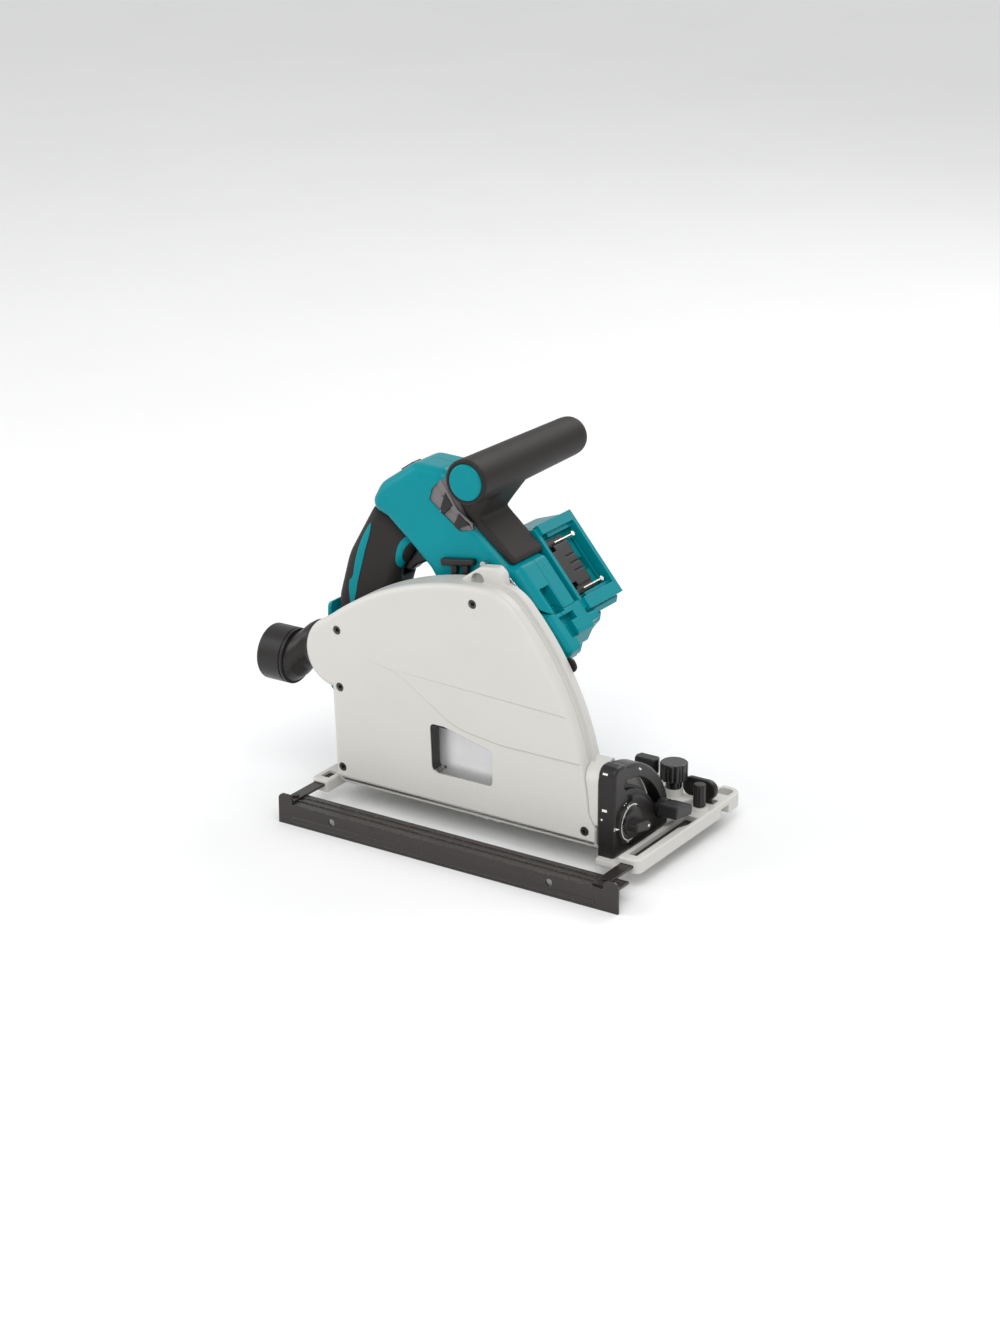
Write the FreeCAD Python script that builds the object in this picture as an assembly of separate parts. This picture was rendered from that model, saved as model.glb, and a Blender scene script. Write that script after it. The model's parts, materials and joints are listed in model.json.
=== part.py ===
"""Cordless track plunge saw, 165 mm blade, as separate pieces.

Frame: +X forward along the cut, +Y towards the motor side, +Z up.
Origin: middle of the base plate, on its sole. Units are millimetres.
At rest the blade is drawn up inside its case and the saw stands square to the sole.
"""
import FreeCAD, Part
import math
import os

V = FreeCAD.Vector
os.makedirs("parts", exist_ok=True)

# ---- Driving dimensions -------------------------------------------------
BLADE_DIAMETER = 165.0
CUT_DEPTH = 56.0
PLUNGE_ANGLE = 21.0

BASE_X = 164.0            # half length of the base plate
BASE_FAR_Y = 88.0         # far edge of the base plate
BASE_NEAR_Y = -60.0       # edge beside the blade
LOBE_Y = -88.0            # outer edge of the front and rear lobes
PLATE = 4.0               # base plate thickness
FRONT_BAR_X = 144.0       # the front bar runs from here to the front edge
FRONT_BAR_TOP = 12.0
REAR_BAR_X = -142.0
REAR_BAR_TOP = 10.0

BEVEL_Y = -67.0           # the bevel axis lies on the sole, in the blade plane
BLADE_Y = BEVEL_Y
BLADE_THICK = 1.8
FLANGE_RADIUS = 16.0

PIVOT_X = -146.0
PIVOT_Z = 20.0
ARM = 166.0               # pivot to spindle
CASE_RADIUS = 258.0       # front edge of the case, about the pivot

CASE_WALL_Y = -52.5       # motor side face of the case wall
CASE_WALL = 3.5
SPLIT_Y = -69.0           # where the cover meets the case
COVER_Y = -81.0           # outer face of the cover
COVER_WALL = 3.0

GEAR_MODULE = 1.0
GEAR_TEETH = 30
IDLER_TEETH = 30
PINION_TEETH = 10
MOTOR_LEAN = 165.0        # direction from spindle to idler and motor axes at rest, degrees

GRIP_Y = -18.0            # middle plane of the rear handle
GRIP_HALF = 18.0

CLAMP_RADIUS = 65.0       # bevel clamp screws, about the bevel axis
CLAMP_ANGLE = 21.7

FENCE_Y = -135.0
FENCE_X0 = -163.0
FENCE_X1 = 173.0
FENCE_TOP = 5.0
FENCE_BOTTOM = -14.0
FENCE_HOLE_RADIUS = 3.2
ARM_Z0 = 5.0
ARM_Z1 = 7.0
ARM_END_Y = 63.0          # far end of both fence arms
FRONT_ARM_X0 = 147.0
FRONT_ARM_X1 = 158.5
REAR_ARM_X0 = -160.0
REAR_ARM_X1 = -149.5

RUNNING = 0.05            # radial clearance of a running fit
SEAM = 0.3                # gap between neighbouring shells

# ---- Worked-out places --------------------------------------------------
BLADE_R = BLADE_DIAMETER / 2
LOW_Z = BLADE_R - CUT_DEPTH
LOW_ANGLE = math.degrees(math.asin((LOW_Z - PIVOT_Z) / ARM))
REST_ANGLE = LOW_ANGLE + PLUNGE_ANGLE
SPINDLE_X = PIVOT_X + ARM * math.cos(math.radians(REST_ANGLE))
SPINDLE_Z = PIVOT_Z + ARM * math.sin(math.radians(REST_ANGLE))
IDLER_DISTANCE = GEAR_MODULE * (GEAR_TEETH + IDLER_TEETH) / 2
MOTOR_DISTANCE = IDLER_DISTANCE + GEAR_MODULE * (IDLER_TEETH + PINION_TEETH) / 2


# ---- Helpers ------------------------------------------------------------
def save(name, shape):
    shape.exportStep("parts/" + name + ".step")


def box(x0, x1, y0, y1, z0, z1):
    return Part.makeBox(x1 - x0, y1 - y0, z1 - z0, V(x0, y0, z0))


def rod(axis, at, start, end, radius):
    """A cylinder along x, y or z from start to end; at gives the other two coordinates."""
    a, b = at
    base = {"x": V(start, a, b), "y": V(a, start, b), "z": V(a, b, start)}[axis]
    along = {"x": V(1, 0, 0), "y": V(0, 1, 0), "z": V(0, 0, 1)}[axis]
    return Part.makeCylinder(radius, end - start, base, along)


def ring(axis, at, start, end, outer, inner):
    return rod(axis, at, start, end, outer).cut(rod(axis, at, start - 1, end + 1, inner))


def join(shapes):
    first = shapes[0]
    if len(shapes) == 1:
        return first
    return first.fuse(shapes[1:]).removeSplitter()


def cut(shape, tools):
    for tool in tools:
        shape = shape.cut(tool)
    return shape


def place(plane, u, v, w):
    """Point (u, v) of a plane named by the axis it is normal to, at w along that axis."""
    if plane == "y":
        return V(u, w, v)
    if plane == "x":
        return V(w, u, v)
    return V(u, v, w)


def outline(plane, corners, w):
    """Closed face through (u, v) or (u, v, radius) corners, each rounded by a tangent arc."""
    starts = []
    ends = []
    mids = []
    count = len(corners)
    for i, corner in enumerate(corners):
        u, v = corner[0], corner[1]
        radius = corner[2] if len(corner) > 2 else 0.0
        here = V(u, v, 0)
        if radius <= 0:
            starts.append(here)
            ends.append(here)
            mids.append(None)
            continue
        before = V(corners[i - 1][0], corners[i - 1][1], 0)
        after = V(corners[(i + 1) % count][0], corners[(i + 1) % count][1], 0)
        back = (before - here).normalize()
        on = (after - here).normalize()
        half = back.getAngle(on) / 2
        reach = radius / math.tan(half)
        middle = (back + on).normalize()
        starts.append(here + back * reach)
        ends.append(here + on * reach)
        mids.append(here + middle * (radius / math.sin(half) - radius))
    edges = []
    for i in range(count):
        if mids[i] is not None:
            arc_points = [starts[i], mids[i], ends[i]]
            edges.append(Part.Arc(*[place(plane, p.x, p.y, w) for p in arc_points]).toShape())
        a = ends[i]
        b = starts[(i + 1) % count]
        if (b - a).Length > 0.01:
            edges.append(Part.makeLine(place(plane, a.x, a.y, w), place(plane, b.x, b.y, w)))
    return Part.Face(Part.Wire(edges))


def normal(plane, length):
    return {"x": V(length, 0, 0), "y": V(0, length, 0), "z": V(0, 0, length)}[plane]


def slab(plane, corners, low, high, soft_low=0.0, soft_high=0.0):
    """Outline extruded from low to high; soft_low and soft_high round the edges of each end."""
    shape = outline(plane, corners, low).extrude(normal(plane, high - low))
    for level, radius in ((low, soft_low), (high, soft_high)):
        if radius > 0:
            shape = soften(shape, plane, level, radius)
    return shape


def soften(shape, plane, level, radius):
    """Round the edges that lie in one plane."""
    index = {"x": 0, "y": 1, "z": 2}[plane]
    chosen = []
    for edge in shape.Edges:
        if all(abs(vertex.Point[index] - level) < 1e-4 for vertex in edge.Vertexes):
            chosen.append(edge)
    return shape.makeFillet(radius, chosen)


def on_circle(centre, radius, degrees):
    angle = math.radians(degrees)
    return (centre[0] + radius * math.cos(angle), centre[1] + radius * math.sin(angle))


def arc_slot(plane, centre, radius, half, first, last, low, high):
    """Curved slot with round ends, from angle first to last about centre."""
    def at(r, a):
        u, v = on_circle(centre, r, a)
        return place(plane, u, v, low)
    middle = (first + last) / 2
    outer, inner = radius + half, radius - half
    edges = [Part.Arc(at(outer, first), at(outer, middle), at(outer, last)).toShape()]
    edges.append(Part.makeLine(at(outer, last), at(inner, last)))
    edges.append(Part.Arc(at(inner, last), at(inner, middle), at(inner, first)).toShape())
    edges.append(Part.makeLine(at(inner, first), at(outer, first)))
    band = Part.Face(Part.Wire(edges)).extrude(normal(plane, high - low))
    ends = []
    for angle in (first, last):
        ends.append(rod(plane, on_circle(centre, radius, angle), low, high, half))
    return join([band] + ends)


BEVEL = (BEVEL_Y, 0.0)
PIVOT = (PIVOT_X, PIVOT_Z)
SPINDLE = (SPINDLE_X, SPINDLE_Z)
IDLER = on_circle(SPINDLE, IDLER_DISTANCE, MOTOR_LEAN)
MOTOR = on_circle(SPINDLE, MOTOR_DISTANCE, MOTOR_LEAN)
CLAMP = on_circle(BEVEL, CLAMP_RADIUS, CLAMP_ANGLE)


# ---- Base plate and what stays with it -----------------------------------
RAIL_Y0 = 50.0
RAIL_Y1 = 62.0
RAIL_DEEP = 4.2
POST_FRONT = (152.7, 31.0)
POST_REAR = (-154.7, 31.0)
ADJUST_FRONT = (126.0, 34.0)
ADJUST_REAR = (-126.0, 34.0)
RANGE_KNOB = (101.0, 32.0)
TIP_LEVER_Y = (45.0, 51.0)


def base_plate():
    plan = [(-BASE_X, LOBE_Y, 6), (-146, LOBE_Y, 4), (-146, BASE_NEAR_Y, 2), (122, BASE_NEAR_Y, 2),
            (122, LOBE_Y, 4), (BASE_X, LOBE_Y, 6), (BASE_X, BASE_FAR_Y, 12), (-BASE_X, BASE_FAR_Y, 12)]
    plate = slab("z", plan, 0, PLATE)
    front = [(FRONT_BAR_X, LOBE_Y, 2), (BASE_X, LOBE_Y, 6), (BASE_X, BASE_FAR_Y, 12),
             (FRONT_BAR_X, BASE_FAR_Y, 3)]
    front_bar = slab("z", front, 0, FRONT_BAR_TOP, 0, 1.5)
    rear = [(-BASE_X, LOBE_Y, 6), (-146, LOBE_Y, 2), (-146, -62, 2), (REAR_BAR_X, -58, 2),
            (REAR_BAR_X, BASE_FAR_Y, 3), (-BASE_X, BASE_FAR_Y, 12)]
    rear_bar = slab("z", rear, 0, REAR_BAR_TOP, 0, 1.5)
    far_lip = box(REAR_BAR_X - 4, FRONT_BAR_X + 4, BASE_FAR_Y - 5, BASE_FAR_Y, 0, 9)
    rail_ridge = box(REAR_BAR_X - 4, FRONT_BAR_X + 4, RAIL_Y0 - 4, RAIL_Y1 + 4, 0, RAIL_DEEP + 3)
    pieces = [plate, front_bar, rear_bar, far_lip, rail_ridge]
    pieces.append(rod("z", POST_FRONT, 5, FRONT_BAR_TOP + 3, 8))
    pieces.append(rod("z", POST_REAR, 5, REAR_BAR_TOP + 3, 8))
    pieces.append(slab("z", [(114, 24, 4), (138, 24, 4), (146, 42, 4), (110, 43, 4)], 2, 18, 0, 2))
    pieces.append(rod("z", ADJUST_FRONT, 2, 25, 8))
    pieces.append(rod("z", ADJUST_REAR, 2, 25, 9))
    pieces.append(rod("z", RANGE_KNOB, 2, 33, 8))
    for x in (-100, -60, -20, 20, 60, 100):
        pieces.append(box(x - 1.2, x + 1.2, RAIL_Y1 + 3, BASE_FAR_Y - 4, 2, 7.5))
    body = join(pieces)
    tools = [box(-BASE_X - 5, BASE_X + 5, RAIL_Y0, RAIL_Y1, -1, RAIL_DEEP)]
    for x0, x1 in ((FRONT_ARM_X0, FRONT_ARM_X1), (REAR_ARM_X0, REAR_ARM_X1)):
        tools.append(box(x0 - 0.5, x1 + 0.5, LOBE_Y - 2, ARM_END_Y + 5, ARM_Z0 - 0.3, ARM_Z1 + 0.3))
    channel = [(149, -79, 1), (157, -79, 1), (157, -12, 6), (161, -2, 3), (161, 14, 1), (149, 14, 1)]
    tools.append(slab("z", channel, ARM_Z1, FRONT_BAR_TOP + 2))
    tools.append(box(-159, -150.5, -80, -66, ARM_Z1, REAR_BAR_TOP + 2))
    pocket = [(146, 69, 2), (159, 69, 2), (159, 82, 5), (146, 82, 2)]
    tools.append(slab("z", pocket, 3.5, FRONT_BAR_TOP + 2))
    tools.append(rod("z", POST_FRONT, ARM_Z1, FRONT_BAR_TOP + 5, 3 + RUNNING))
    tools.append(rod("z", POST_REAR, ARM_Z1, REAR_BAR_TOP + 5, 3 + RUNNING))
    tools.append(rod("z", ADJUST_FRONT, 6, 30, 3 + RUNNING))
    tools.append(rod("z", ADJUST_REAR, 6, 30, 3 + RUNNING))
    tools.append(rod("z", RANGE_KNOB, 12, 40, 3 + RUNNING))
    tools.append(box(138, 158, TIP_LEVER_Y[0] + 0.4, TIP_LEVER_Y[1] + 4, ARM_Z1 + 0.4, FRONT_BAR_TOP + 2))
    tools.append(box(FRONT_ARM_X1 + 1.5, BASE_X + 1, RAIL_Y0 - 2, RAIL_Y1, -1, 7.5))
    for y in (12.0, 72.0):
        tools.append(box(-150, 136, y, y + 6, -1, 0.8))
    return cut(body, tools)


def slide_strips():
    strips = [box(-150, 136, y, y + 6, 0, 0.8) for y in (12.0, 72.0)]
    return Part.makeCompound(strips)


QUADRANT_X0 = 121.0
QUADRANT_X1 = 136.0
DIAL_AT = (-58.0, 30.0)
DIAL_BOSS = 18.0


def front_quadrant():
    outer = 80.0
    shoulder = on_circle(BEVEL, outer, 85)
    middle = on_circle(BEVEL, outer, 55)
    low = on_circle(BEVEL, outer, 22)
    points = [V(0, -80, PLATE), V(0, -80, 74), V(0, -77.7, 79.7), V(0, -72, 82), V(0, -66, 82)]
    edges = [Part.makeLine(points[0], points[1]), Part.Arc(points[1], points[2], points[3]).toShape(),
             Part.makeLine(points[3], points[4]),
             Part.makeLine(points[4], V(0, *shoulder)),
             Part.Arc(V(0, *shoulder), V(0, *middle), V(0, *low)).toShape(),
             Part.makeLine(V(0, *low), V(0, low[0] + 1, PLATE)),
             Part.makeLine(V(0, low[0] + 1, PLATE), points[0])]
    face = Part.Face(Part.Wire(edges))
    face.translate(V(QUADRANT_X0, 0, 0))
    body = face.extrude(V(QUADRANT_X1 - QUADRANT_X0, 0, 0))
    body = soften(body, "x", QUADRANT_X1, 3.0)
    inner = on_circle(BEVEL, 54, 8)
    top = on_circle(BEVEL, 54, 78)
    mid = on_circle(BEVEL, 54, 45)
    foot = V(0, top[0], 8)
    wire = Part.Wire([Part.Arc(V(0, *inner), V(0, *mid), V(0, *top)).toShape(),
                      Part.makeLine(V(0, *top), foot), Part.makeLine(foot, V(0, *inner))])
    hub = Part.Face(wire)
    hub.translate(V(QUADRANT_X1 - 1, 0, 0))
    hub = soften(hub.extrude(V(4, 0, 0)), "x", QUADRANT_X1 + 3, 1.5)
    boss = slab_round("x", DIAL_AT, QUADRANT_X1 - 1, QUADRANT_X1 + 3, DIAL_BOSS, 1.0)
    body = join([body, hub, boss])
    slot = arc_slot("x", BEVEL, CLAMP_RADIUS, 4.0, 17, 73.5, QUADRANT_X0 - 1, QUADRANT_X1 + 5)
    back = arc_slot("x", BEVEL, CLAMP_RADIUS, 7.5, 17, 73.5, QUADRANT_X0 - 1, QUADRANT_X0 + 6)
    crescent = arc_slot("x", BEVEL, 63.2, 4.6, 20, 84, QUADRANT_X1 - 5, QUADRANT_X1 + 5)
    tools = [slot, back, crescent, rod("x", DIAL_AT, QUADRANT_X0 - 1, QUADRANT_X1 + 5, 3 + RUNNING)]
    for y in (-72.0, -4.0):
        tools.append(rod("z", (QUADRANT_X0 + 5, y), 0, 9, 2.0))
    return cut(body, tools)


REAR_QUADRANT_X0 = -157.0
REAR_QUADRANT_X1 = -151.5


def rear_quadrant():
    band = arc_slot("x", BEVEL, CLAMP_RADIUS, 9.0, 14, 76, REAR_QUADRANT_X0, REAR_QUADRANT_X1)
    foot = slab("x", [(-18, REAR_BAR_TOP, 0), (12, REAR_BAR_TOP, 0), (8, 24, 4), (-14, 20, 2)],
                REAR_QUADRANT_X0, REAR_QUADRANT_X1)
    toe = box(REAR_QUADRANT_X0, REAR_QUADRANT_X1 + 6, -16, 10, REAR_BAR_TOP, REAR_BAR_TOP + 3)
    body = join([band, foot, toe])
    slot = arc_slot("x", BEVEL, CLAMP_RADIUS, 4.0, 17, 73.5, REAR_QUADRANT_X0 - 1, REAR_QUADRANT_X1 + 1)
    low = box(REAR_QUADRANT_X0 - 5, REAR_QUADRANT_X1 + 10, -30, 20, 0, REAR_BAR_TOP)
    return cut(body, [slot, low])


def quadrant_screws():
    """Screws that hold the front quadrant to the base, seen only from below."""
    screws = []
    for y in (-72.0, -4.0):
        shank = rod("z", (QUADRANT_X0 + 5, y), PLATE, 9, 1.95)
        screws.append(shank)
    return Part.makeCompound(screws)


def fluted(axis, at, start, end, radius, lobes, depth):
    """Round grip with shallow flutes along its side."""
    body = rod(axis, at, start, end, radius)
    body = soften(body, axis, end, 1.5)
    flute = 2.6
    for i in range(lobes):
        centre = on_circle(at, radius + flute - depth, i * 360.0 / lobes)
        body = body.cut(rod(axis, centre, start - 1, end + 1, flute))
    return body


def bevel_dial():
    """Stop dial of the bevel, with a pointed grip."""
    x = QUADRANT_X1 + 3.3
    disc = slab_round("x", DIAL_AT, x, x + 3, 13.0, 1.0)
    y, z = DIAL_AT
    corners = [(y - 11, z + 4, 2), (y - 11, z - 3, 2), (y + 9, z - 8, 3), (y + 13, z - 4, 1),
               (y + 9, z + 1, 3)]
    grip = slab("x", corners, x + 2, x + 12, 0, 1.5)
    stem = rod("x", DIAL_AT, QUADRANT_X0 + 2, x + 1, 3)
    return join([disc, grip, stem])


def slab_round(axis, at, start, end, radius, soft):
    body = rod(axis, at, start, end, radius)
    return soften(body, axis, end, soft)


def paddle_clamp(stem_from, stem_to, hub_from, hub_to, block_from, block_to):
    """Bevel clamp: screw, round hub and a flat paddle."""
    y, z = CLAMP
    stem = rod("x", CLAMP, stem_from, stem_to, 3)
    hub = rod("x", CLAMP, hub_from, hub_to, 8.5)
    corners = [(y - 14, z - 2, 2), (y + 12, z - 6, 2), (y + 14, z + 3, 2), (y - 12, z + 9, 2)]
    block = slab("x", corners, block_from, block_to, 1.5, 1.5)
    return join([stem, hub, block])


def bevel_clamp_front():
    return paddle_clamp(107.0, QUADRANT_X1 + 2, QUADRANT_X1 + 0.5, QUADRANT_X1 + 8, QUADRANT_X1 + 5, 160)


def bevel_clamp_rear():
    return paddle_clamp(-160, -144.0, -165, REAR_QUADRANT_X0 - 0.5, -178, -162)


def adjust_knob(at):
    grip = fluted("z", at, 33, 48, 12.0, 12, 1.1)
    collar = rod("z", at, 25.4, 34, 7)
    stem = rod("z", at, 9, 27, 3)
    return join([grip, collar, stem])


def range_knob():
    """Knob that frees the last degrees of the bevel range."""
    x, y = RANGE_KNOB
    collar = rod("z", RANGE_KNOB, 33.4, 36, 7.5)
    wing = slab("z", [(x - 9, y - 6, 2), (x + 9, y - 6, 2), (x + 11, y, 2), (x + 9, y + 6, 2),
                      (x - 9, y + 6, 2), (x - 11, y, 2)], 35, 48, 0, 2)
    stem = rod("z", RANGE_KNOB, 14, 36, 3)
    return join([collar, wing, stem])


def fence_clamp(at, top):
    """Thumb screw that presses on a fence arm."""
    grip = fluted("z", at, top + 0.5, top + 20, 5.4, 10, 0.4)
    stem = rod("z", at, ARM_Z1 + 0.6, top + 2, 3)
    return join([grip, stem])


def tip_lock_lever():
    """Slide lever beside the rail channel: its foot moves towards the guide rail."""
    y0, y1 = TIP_LEVER_Y
    corners = [(128, 15, 8), (160, 15, 8), (160, 32, 8), (128, 32, 8)]
    paddle = slab("y", corners, y0, y1, 1.5, 1.5)
    foot = box(142, 154, y0 + 0.9, y1 - 0.5, ARM_Z1 + 0.8, 19)
    return join([paddle, foot])


# ---- Rip fence -----------------------------------------------------------
def fence_rule():
    thick = 2.0
    flange = box(FENCE_X0, FENCE_X1, FENCE_Y, FENCE_Y + thick, FENCE_BOTTOM, FENCE_TOP)
    top = box(FENCE_X0 + 4, FENCE_X1 - 4, FENCE_Y, FENCE_Y + 24, FENCE_TOP - thick, FENCE_TOP)
    pieces = [flange, top]
    for x0, x1 in ((FENCE_X0, FENCE_X0 + 14), (FENCE_X1 - 14, FENCE_X1)):
        corners = [(x0, -2), (x1, -2), (x1, FENCE_TOP + 8, 5), (x0, FENCE_TOP + 8, 5)]
        pieces.append(slab("y", corners, FENCE_Y, FENCE_Y + thick))
    for y in (FENCE_Y + 9, FENCE_Y + 17):
        pieces.append(box(FENCE_X0 + 8, FENCE_X1 - 8, y, y + 2, FENCE_TOP - 0.5, FENCE_TOP + 0.8))
    pieces.append(box(FENCE_X0 + 13, FENCE_X1 - 23, FENCE_Y - 0.8, FENCE_Y + 0.5,
                      FENCE_BOTTOM + 4, FENCE_BOTTOM + 6.5))
    body = join(pieces)
    for x in (-108.0, 108.0):
        body = body.cut(rod("y", (x, -2.0), FENCE_Y - 3, FENCE_Y + 4, FENCE_HOLE_RADIUS))
    return body


def fence_arms():
    arms = []
    for x0, x1 in ((FRONT_ARM_X0, FRONT_ARM_X1), (REAR_ARM_X0, REAR_ARM_X1)):
        corners = [(x0, FENCE_Y + 3), (x1, FENCE_Y + 3), (x1, ARM_END_Y, 4), (x0, ARM_END_Y, 4)]
        arm = slab("z", corners, ARM_Z0, ARM_Z1)
        arm = arm.cut(box(x0 - 1, x1 + 1, FENCE_Y + 8, FENCE_Y + 20, ARM_Z0 - 1, FENCE_TOP + 0.8))
        middle = (x0 + x1) / 2
        arms.append(arm.cut(rod("z", (middle, FENCE_Y + 13), 0, 9, 1.6)))
    return Part.makeCompound(arms)


def fence_screws():
    screws = []
    for x0, x1 in ((FRONT_ARM_X0, FRONT_ARM_X1), (REAR_ARM_X0, REAR_ARM_X1)):
        middle = (x0 + x1) / 2
        head = rod("z", (middle, FENCE_Y + 13), ARM_Z1, ARM_Z1 + 1.5, 3.2)
        shank = rod("z", (middle, FENCE_Y + 13), FENCE_TOP, ARM_Z1 + 0.5, 1.55)
        screws.append(join([head, shank]))
    return Part.makeCompound(screws)


# ---- Blade case, which tilts ----------------------------------------------
FOOT_X = 118.0
ARC_LOW_Z = 38.0
FLARE_X = -172.0          # rearmost point of the duct flare


def case_face(y, inset=0.0):
    """Side outline of the case: an arc about the pivot in front, a long brow above."""
    radius = CASE_RADIUS - inset
    low_x = PIVOT_X + math.sqrt(radius ** 2 - (ARC_LOW_Z - PIVOT_Z) ** 2)
    low = V(low_x, y, ARC_LOW_Z)
    x, z = on_circle(PIVOT, radius, 24)
    middle = V(x, y, z)
    x, z = on_circle(PIVOT, radius, 43)
    high = V(x, y, z)
    crown_mid = V(27 - 0.5 * inset, y, 208.5 - inset)
    crown = V(8, y, 213 - inset)
    brow = V(-78 + 0.3 * inset, y, 197.5 - inset)
    heel = V(-151 + inset, y, 156 - 1.2 * inset)
    flare = V(FLARE_X + inset, y, 129)
    waist = V(-145 + inset, y, 95 + 0.5 * inset)
    sole_rear = V(-141.5 + inset, y, 6 + inset)
    sole_front = V(FOOT_X - inset, y, 6 + inset)
    foot = V(FOOT_X - inset, y, 25 - 0.4 * inset)
    edges = [Part.Arc(low, middle, high).toShape(), Part.Arc(high, crown_mid, crown).toShape(),
             Part.Arc(crown, brow, heel).toShape(), Part.Arc(heel, flare, waist).toShape(),
             Part.makeLine(waist, sole_rear), Part.makeLine(sole_rear, sole_front),
             Part.makeLine(sole_front, foot), Part.makeLine(foot, low)]
    return Part.Face(Part.Wire(edges))


def case_solid(y0, y1, inset=0.0):
    return case_face(y0, inset).extrude(V(0, y1 - y0, 0))


def bevel_relief():
    """Wedge taken off the lower outer edge, so a tilted case stays above the sole."""
    corners = [(COVER_Y - 1, -2), (COVER_Y - 1, 17.5), (-70.5, 5.8), (-70.5, -2)]
    return slab("x", corners, -170, 130)


COVER_SCREWS = [(-1.0, 198.0), (-138.0, 148.0), (-136.0, 97.0), (-134.5, 24.0), (107.5, 22.0)]
NOZZLE_IN = (-58.5, 124.0)
NOZZLE_OUTER = 19.5
NOZZLE_WALL = 3.0
LUG_SCREW = (-6.0, 213.5)
SOCKET_X = -149.0         # the dust elbow reaches this far into the case
CLAMP_ARM_X = (107.0, 119.5)
CLAMP_ARM_REAR_X = (-149.5, -144.0)


def clamp_arm(x0, x1, last):
    """Curved arm from the case wall to the bevel clamp screw."""
    arm = arc_slot("x", BEVEL, CLAMP_RADIUS, 8.0, CLAMP_ANGLE, last, x0, x1)
    return arm.cut(box(x0 - 1, x1 + 1, -90, CASE_WALL_Y - CASE_WALL, -10, 120))


def blade_case():
    y0 = CASE_WALL_Y - CASE_WALL
    wall = case_solid(y0, CASE_WALL_Y)
    rim = case_solid(SPLIT_Y, y0 + 1).cut(case_solid(SPLIT_Y - 1, y0 + 2, 4.0))
    lip = case_solid(SPLIT_Y + 4, SPLIT_Y + 6, -3.0).cut(case_solid(SPLIT_Y - 1, y0, 1.0))
    keep = slab("y", [(130, 30), (130, 240), (-30, 240), (0, 190), (60, 120), (95, 40)], SPLIT_Y, y0)
    lip = lip.common(keep)
    boss = rod("y", PIVOT, -60, CASE_WALL_Y, 9)
    tongue = slab("y", [(-152, 14), (-130, 12), (-130, 40), (-146, 34)], y0, CASE_WALL_Y)
    lug = slab("y", [(-26, 200), (22, 196), (18, 222, 6), (12, 227, 5), (-4, 225, 8), (-22, 212, 5)],
               y0 - 9, y0 + 0.5, 2.5, 0)
    front_arm = clamp_arm(CLAMP_ARM_X[0], CLAMP_ARM_X[1], 84)
    corners = [(-79, 28, 3), (-79, 76, 12), (CASE_WALL_Y, 82, 3), (CASE_WALL_Y, 28, 2)]
    block = slab("x", corners, 98, CLAMP_ARM_X[1])
    block = block.cut(case_solid(COVER_Y - 1, SPLIT_Y, -0.4)).cut(case_solid(SPLIT_Y - 1, y0, 4.0))
    rear_arm = clamp_arm(CLAMP_ARM_REAR_X[0], CLAMP_ARM_REAR_X[1], 82)
    web = box(CLAMP_ARM_REAR_X[0], -138, y0, CASE_WALL_Y, 50, 76)
    bulge = rod("x", NOZZLE_IN, FLARE_X, SOCKET_X + 3, NOZZLE_OUTER + 2.6).common(case_solid(y0, -30))
    body = join([wall, rim, lip, boss, tongue, lug, block, front_arm, rear_arm, web, bulge])
    path = arc_slot("y", PIVOT, ARM, 20.0, LOW_ANGLE - 8, REST_ANGLE, y0 - 5, CASE_WALL_Y + 1)
    tools = [path, rod("y", PIVOT, -70, -40, 5.0), rod("x", CLAMP, 100, 125, 3 + RUNNING),
             rod("x", CLAMP, -155, -140, 3 + RUNNING), box(-82, 109, SPLIT_Y - 1, y0, 0, 11)]
    tools.append(rod("y", LUG_SCREW, y0 - 12, y0 - 4, 6.0))
    tools.append(rod("x", NOZZLE_IN, FLARE_X - 5, SOCKET_X + 0.3, NOZZLE_OUTER + RUNNING))
    for x, z in COVER_SCREWS:
        body = body.fuse(rod("y", (x, z), SPLIT_Y, y0 + 1, 4.0))
        tools.append(rod("y", (x, z), SPLIT_Y - 1, SPLIT_Y + 9, 2.0))
    tools.append(bevel_relief())
    body = cut(body, tools)
    return body.removeSplitter()


def circle_x(x, at, radius):
    return Part.Wire([Part.makeCircle(radius, V(x, at[0], at[1]), V(1, 0, 0))])


WINDOW = [(-44, 84, 4), (-30, 84, 6), (18, 72, 4), (18, 40, 5), (-42, 40, 7)]
# Two fields of the cover sink towards the front, each under a crease that runs down from the nozzle.
UPPER_FIELD = [(-180, 124), (-89, 124.5, 60), (60, 119.5), (130, 117), (130, -5), (-180, -5)]
LOWER_FIELD = [(-180, 133), (-99, 127, 30), (-74, 121, 60), (-19, 86, 60), (26, 80, 60), (130, 80),
               (130, -5), (-180, -5)]
FIELD_START_X = -112.0


def sunken_field(corners, deep):
    """Tool that cuts nothing at FIELD_START_X and goes this deep at the front of the case."""
    tool = slab("y", corners, COVER_Y - 12, COVER_Y)
    lean = math.degrees(math.atan(deep / (FOOT_X - FIELD_START_X)))
    tool.rotate(V(FIELD_START_X, COVER_Y, 0), V(0, 0, 1), lean)
    return tool


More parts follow.
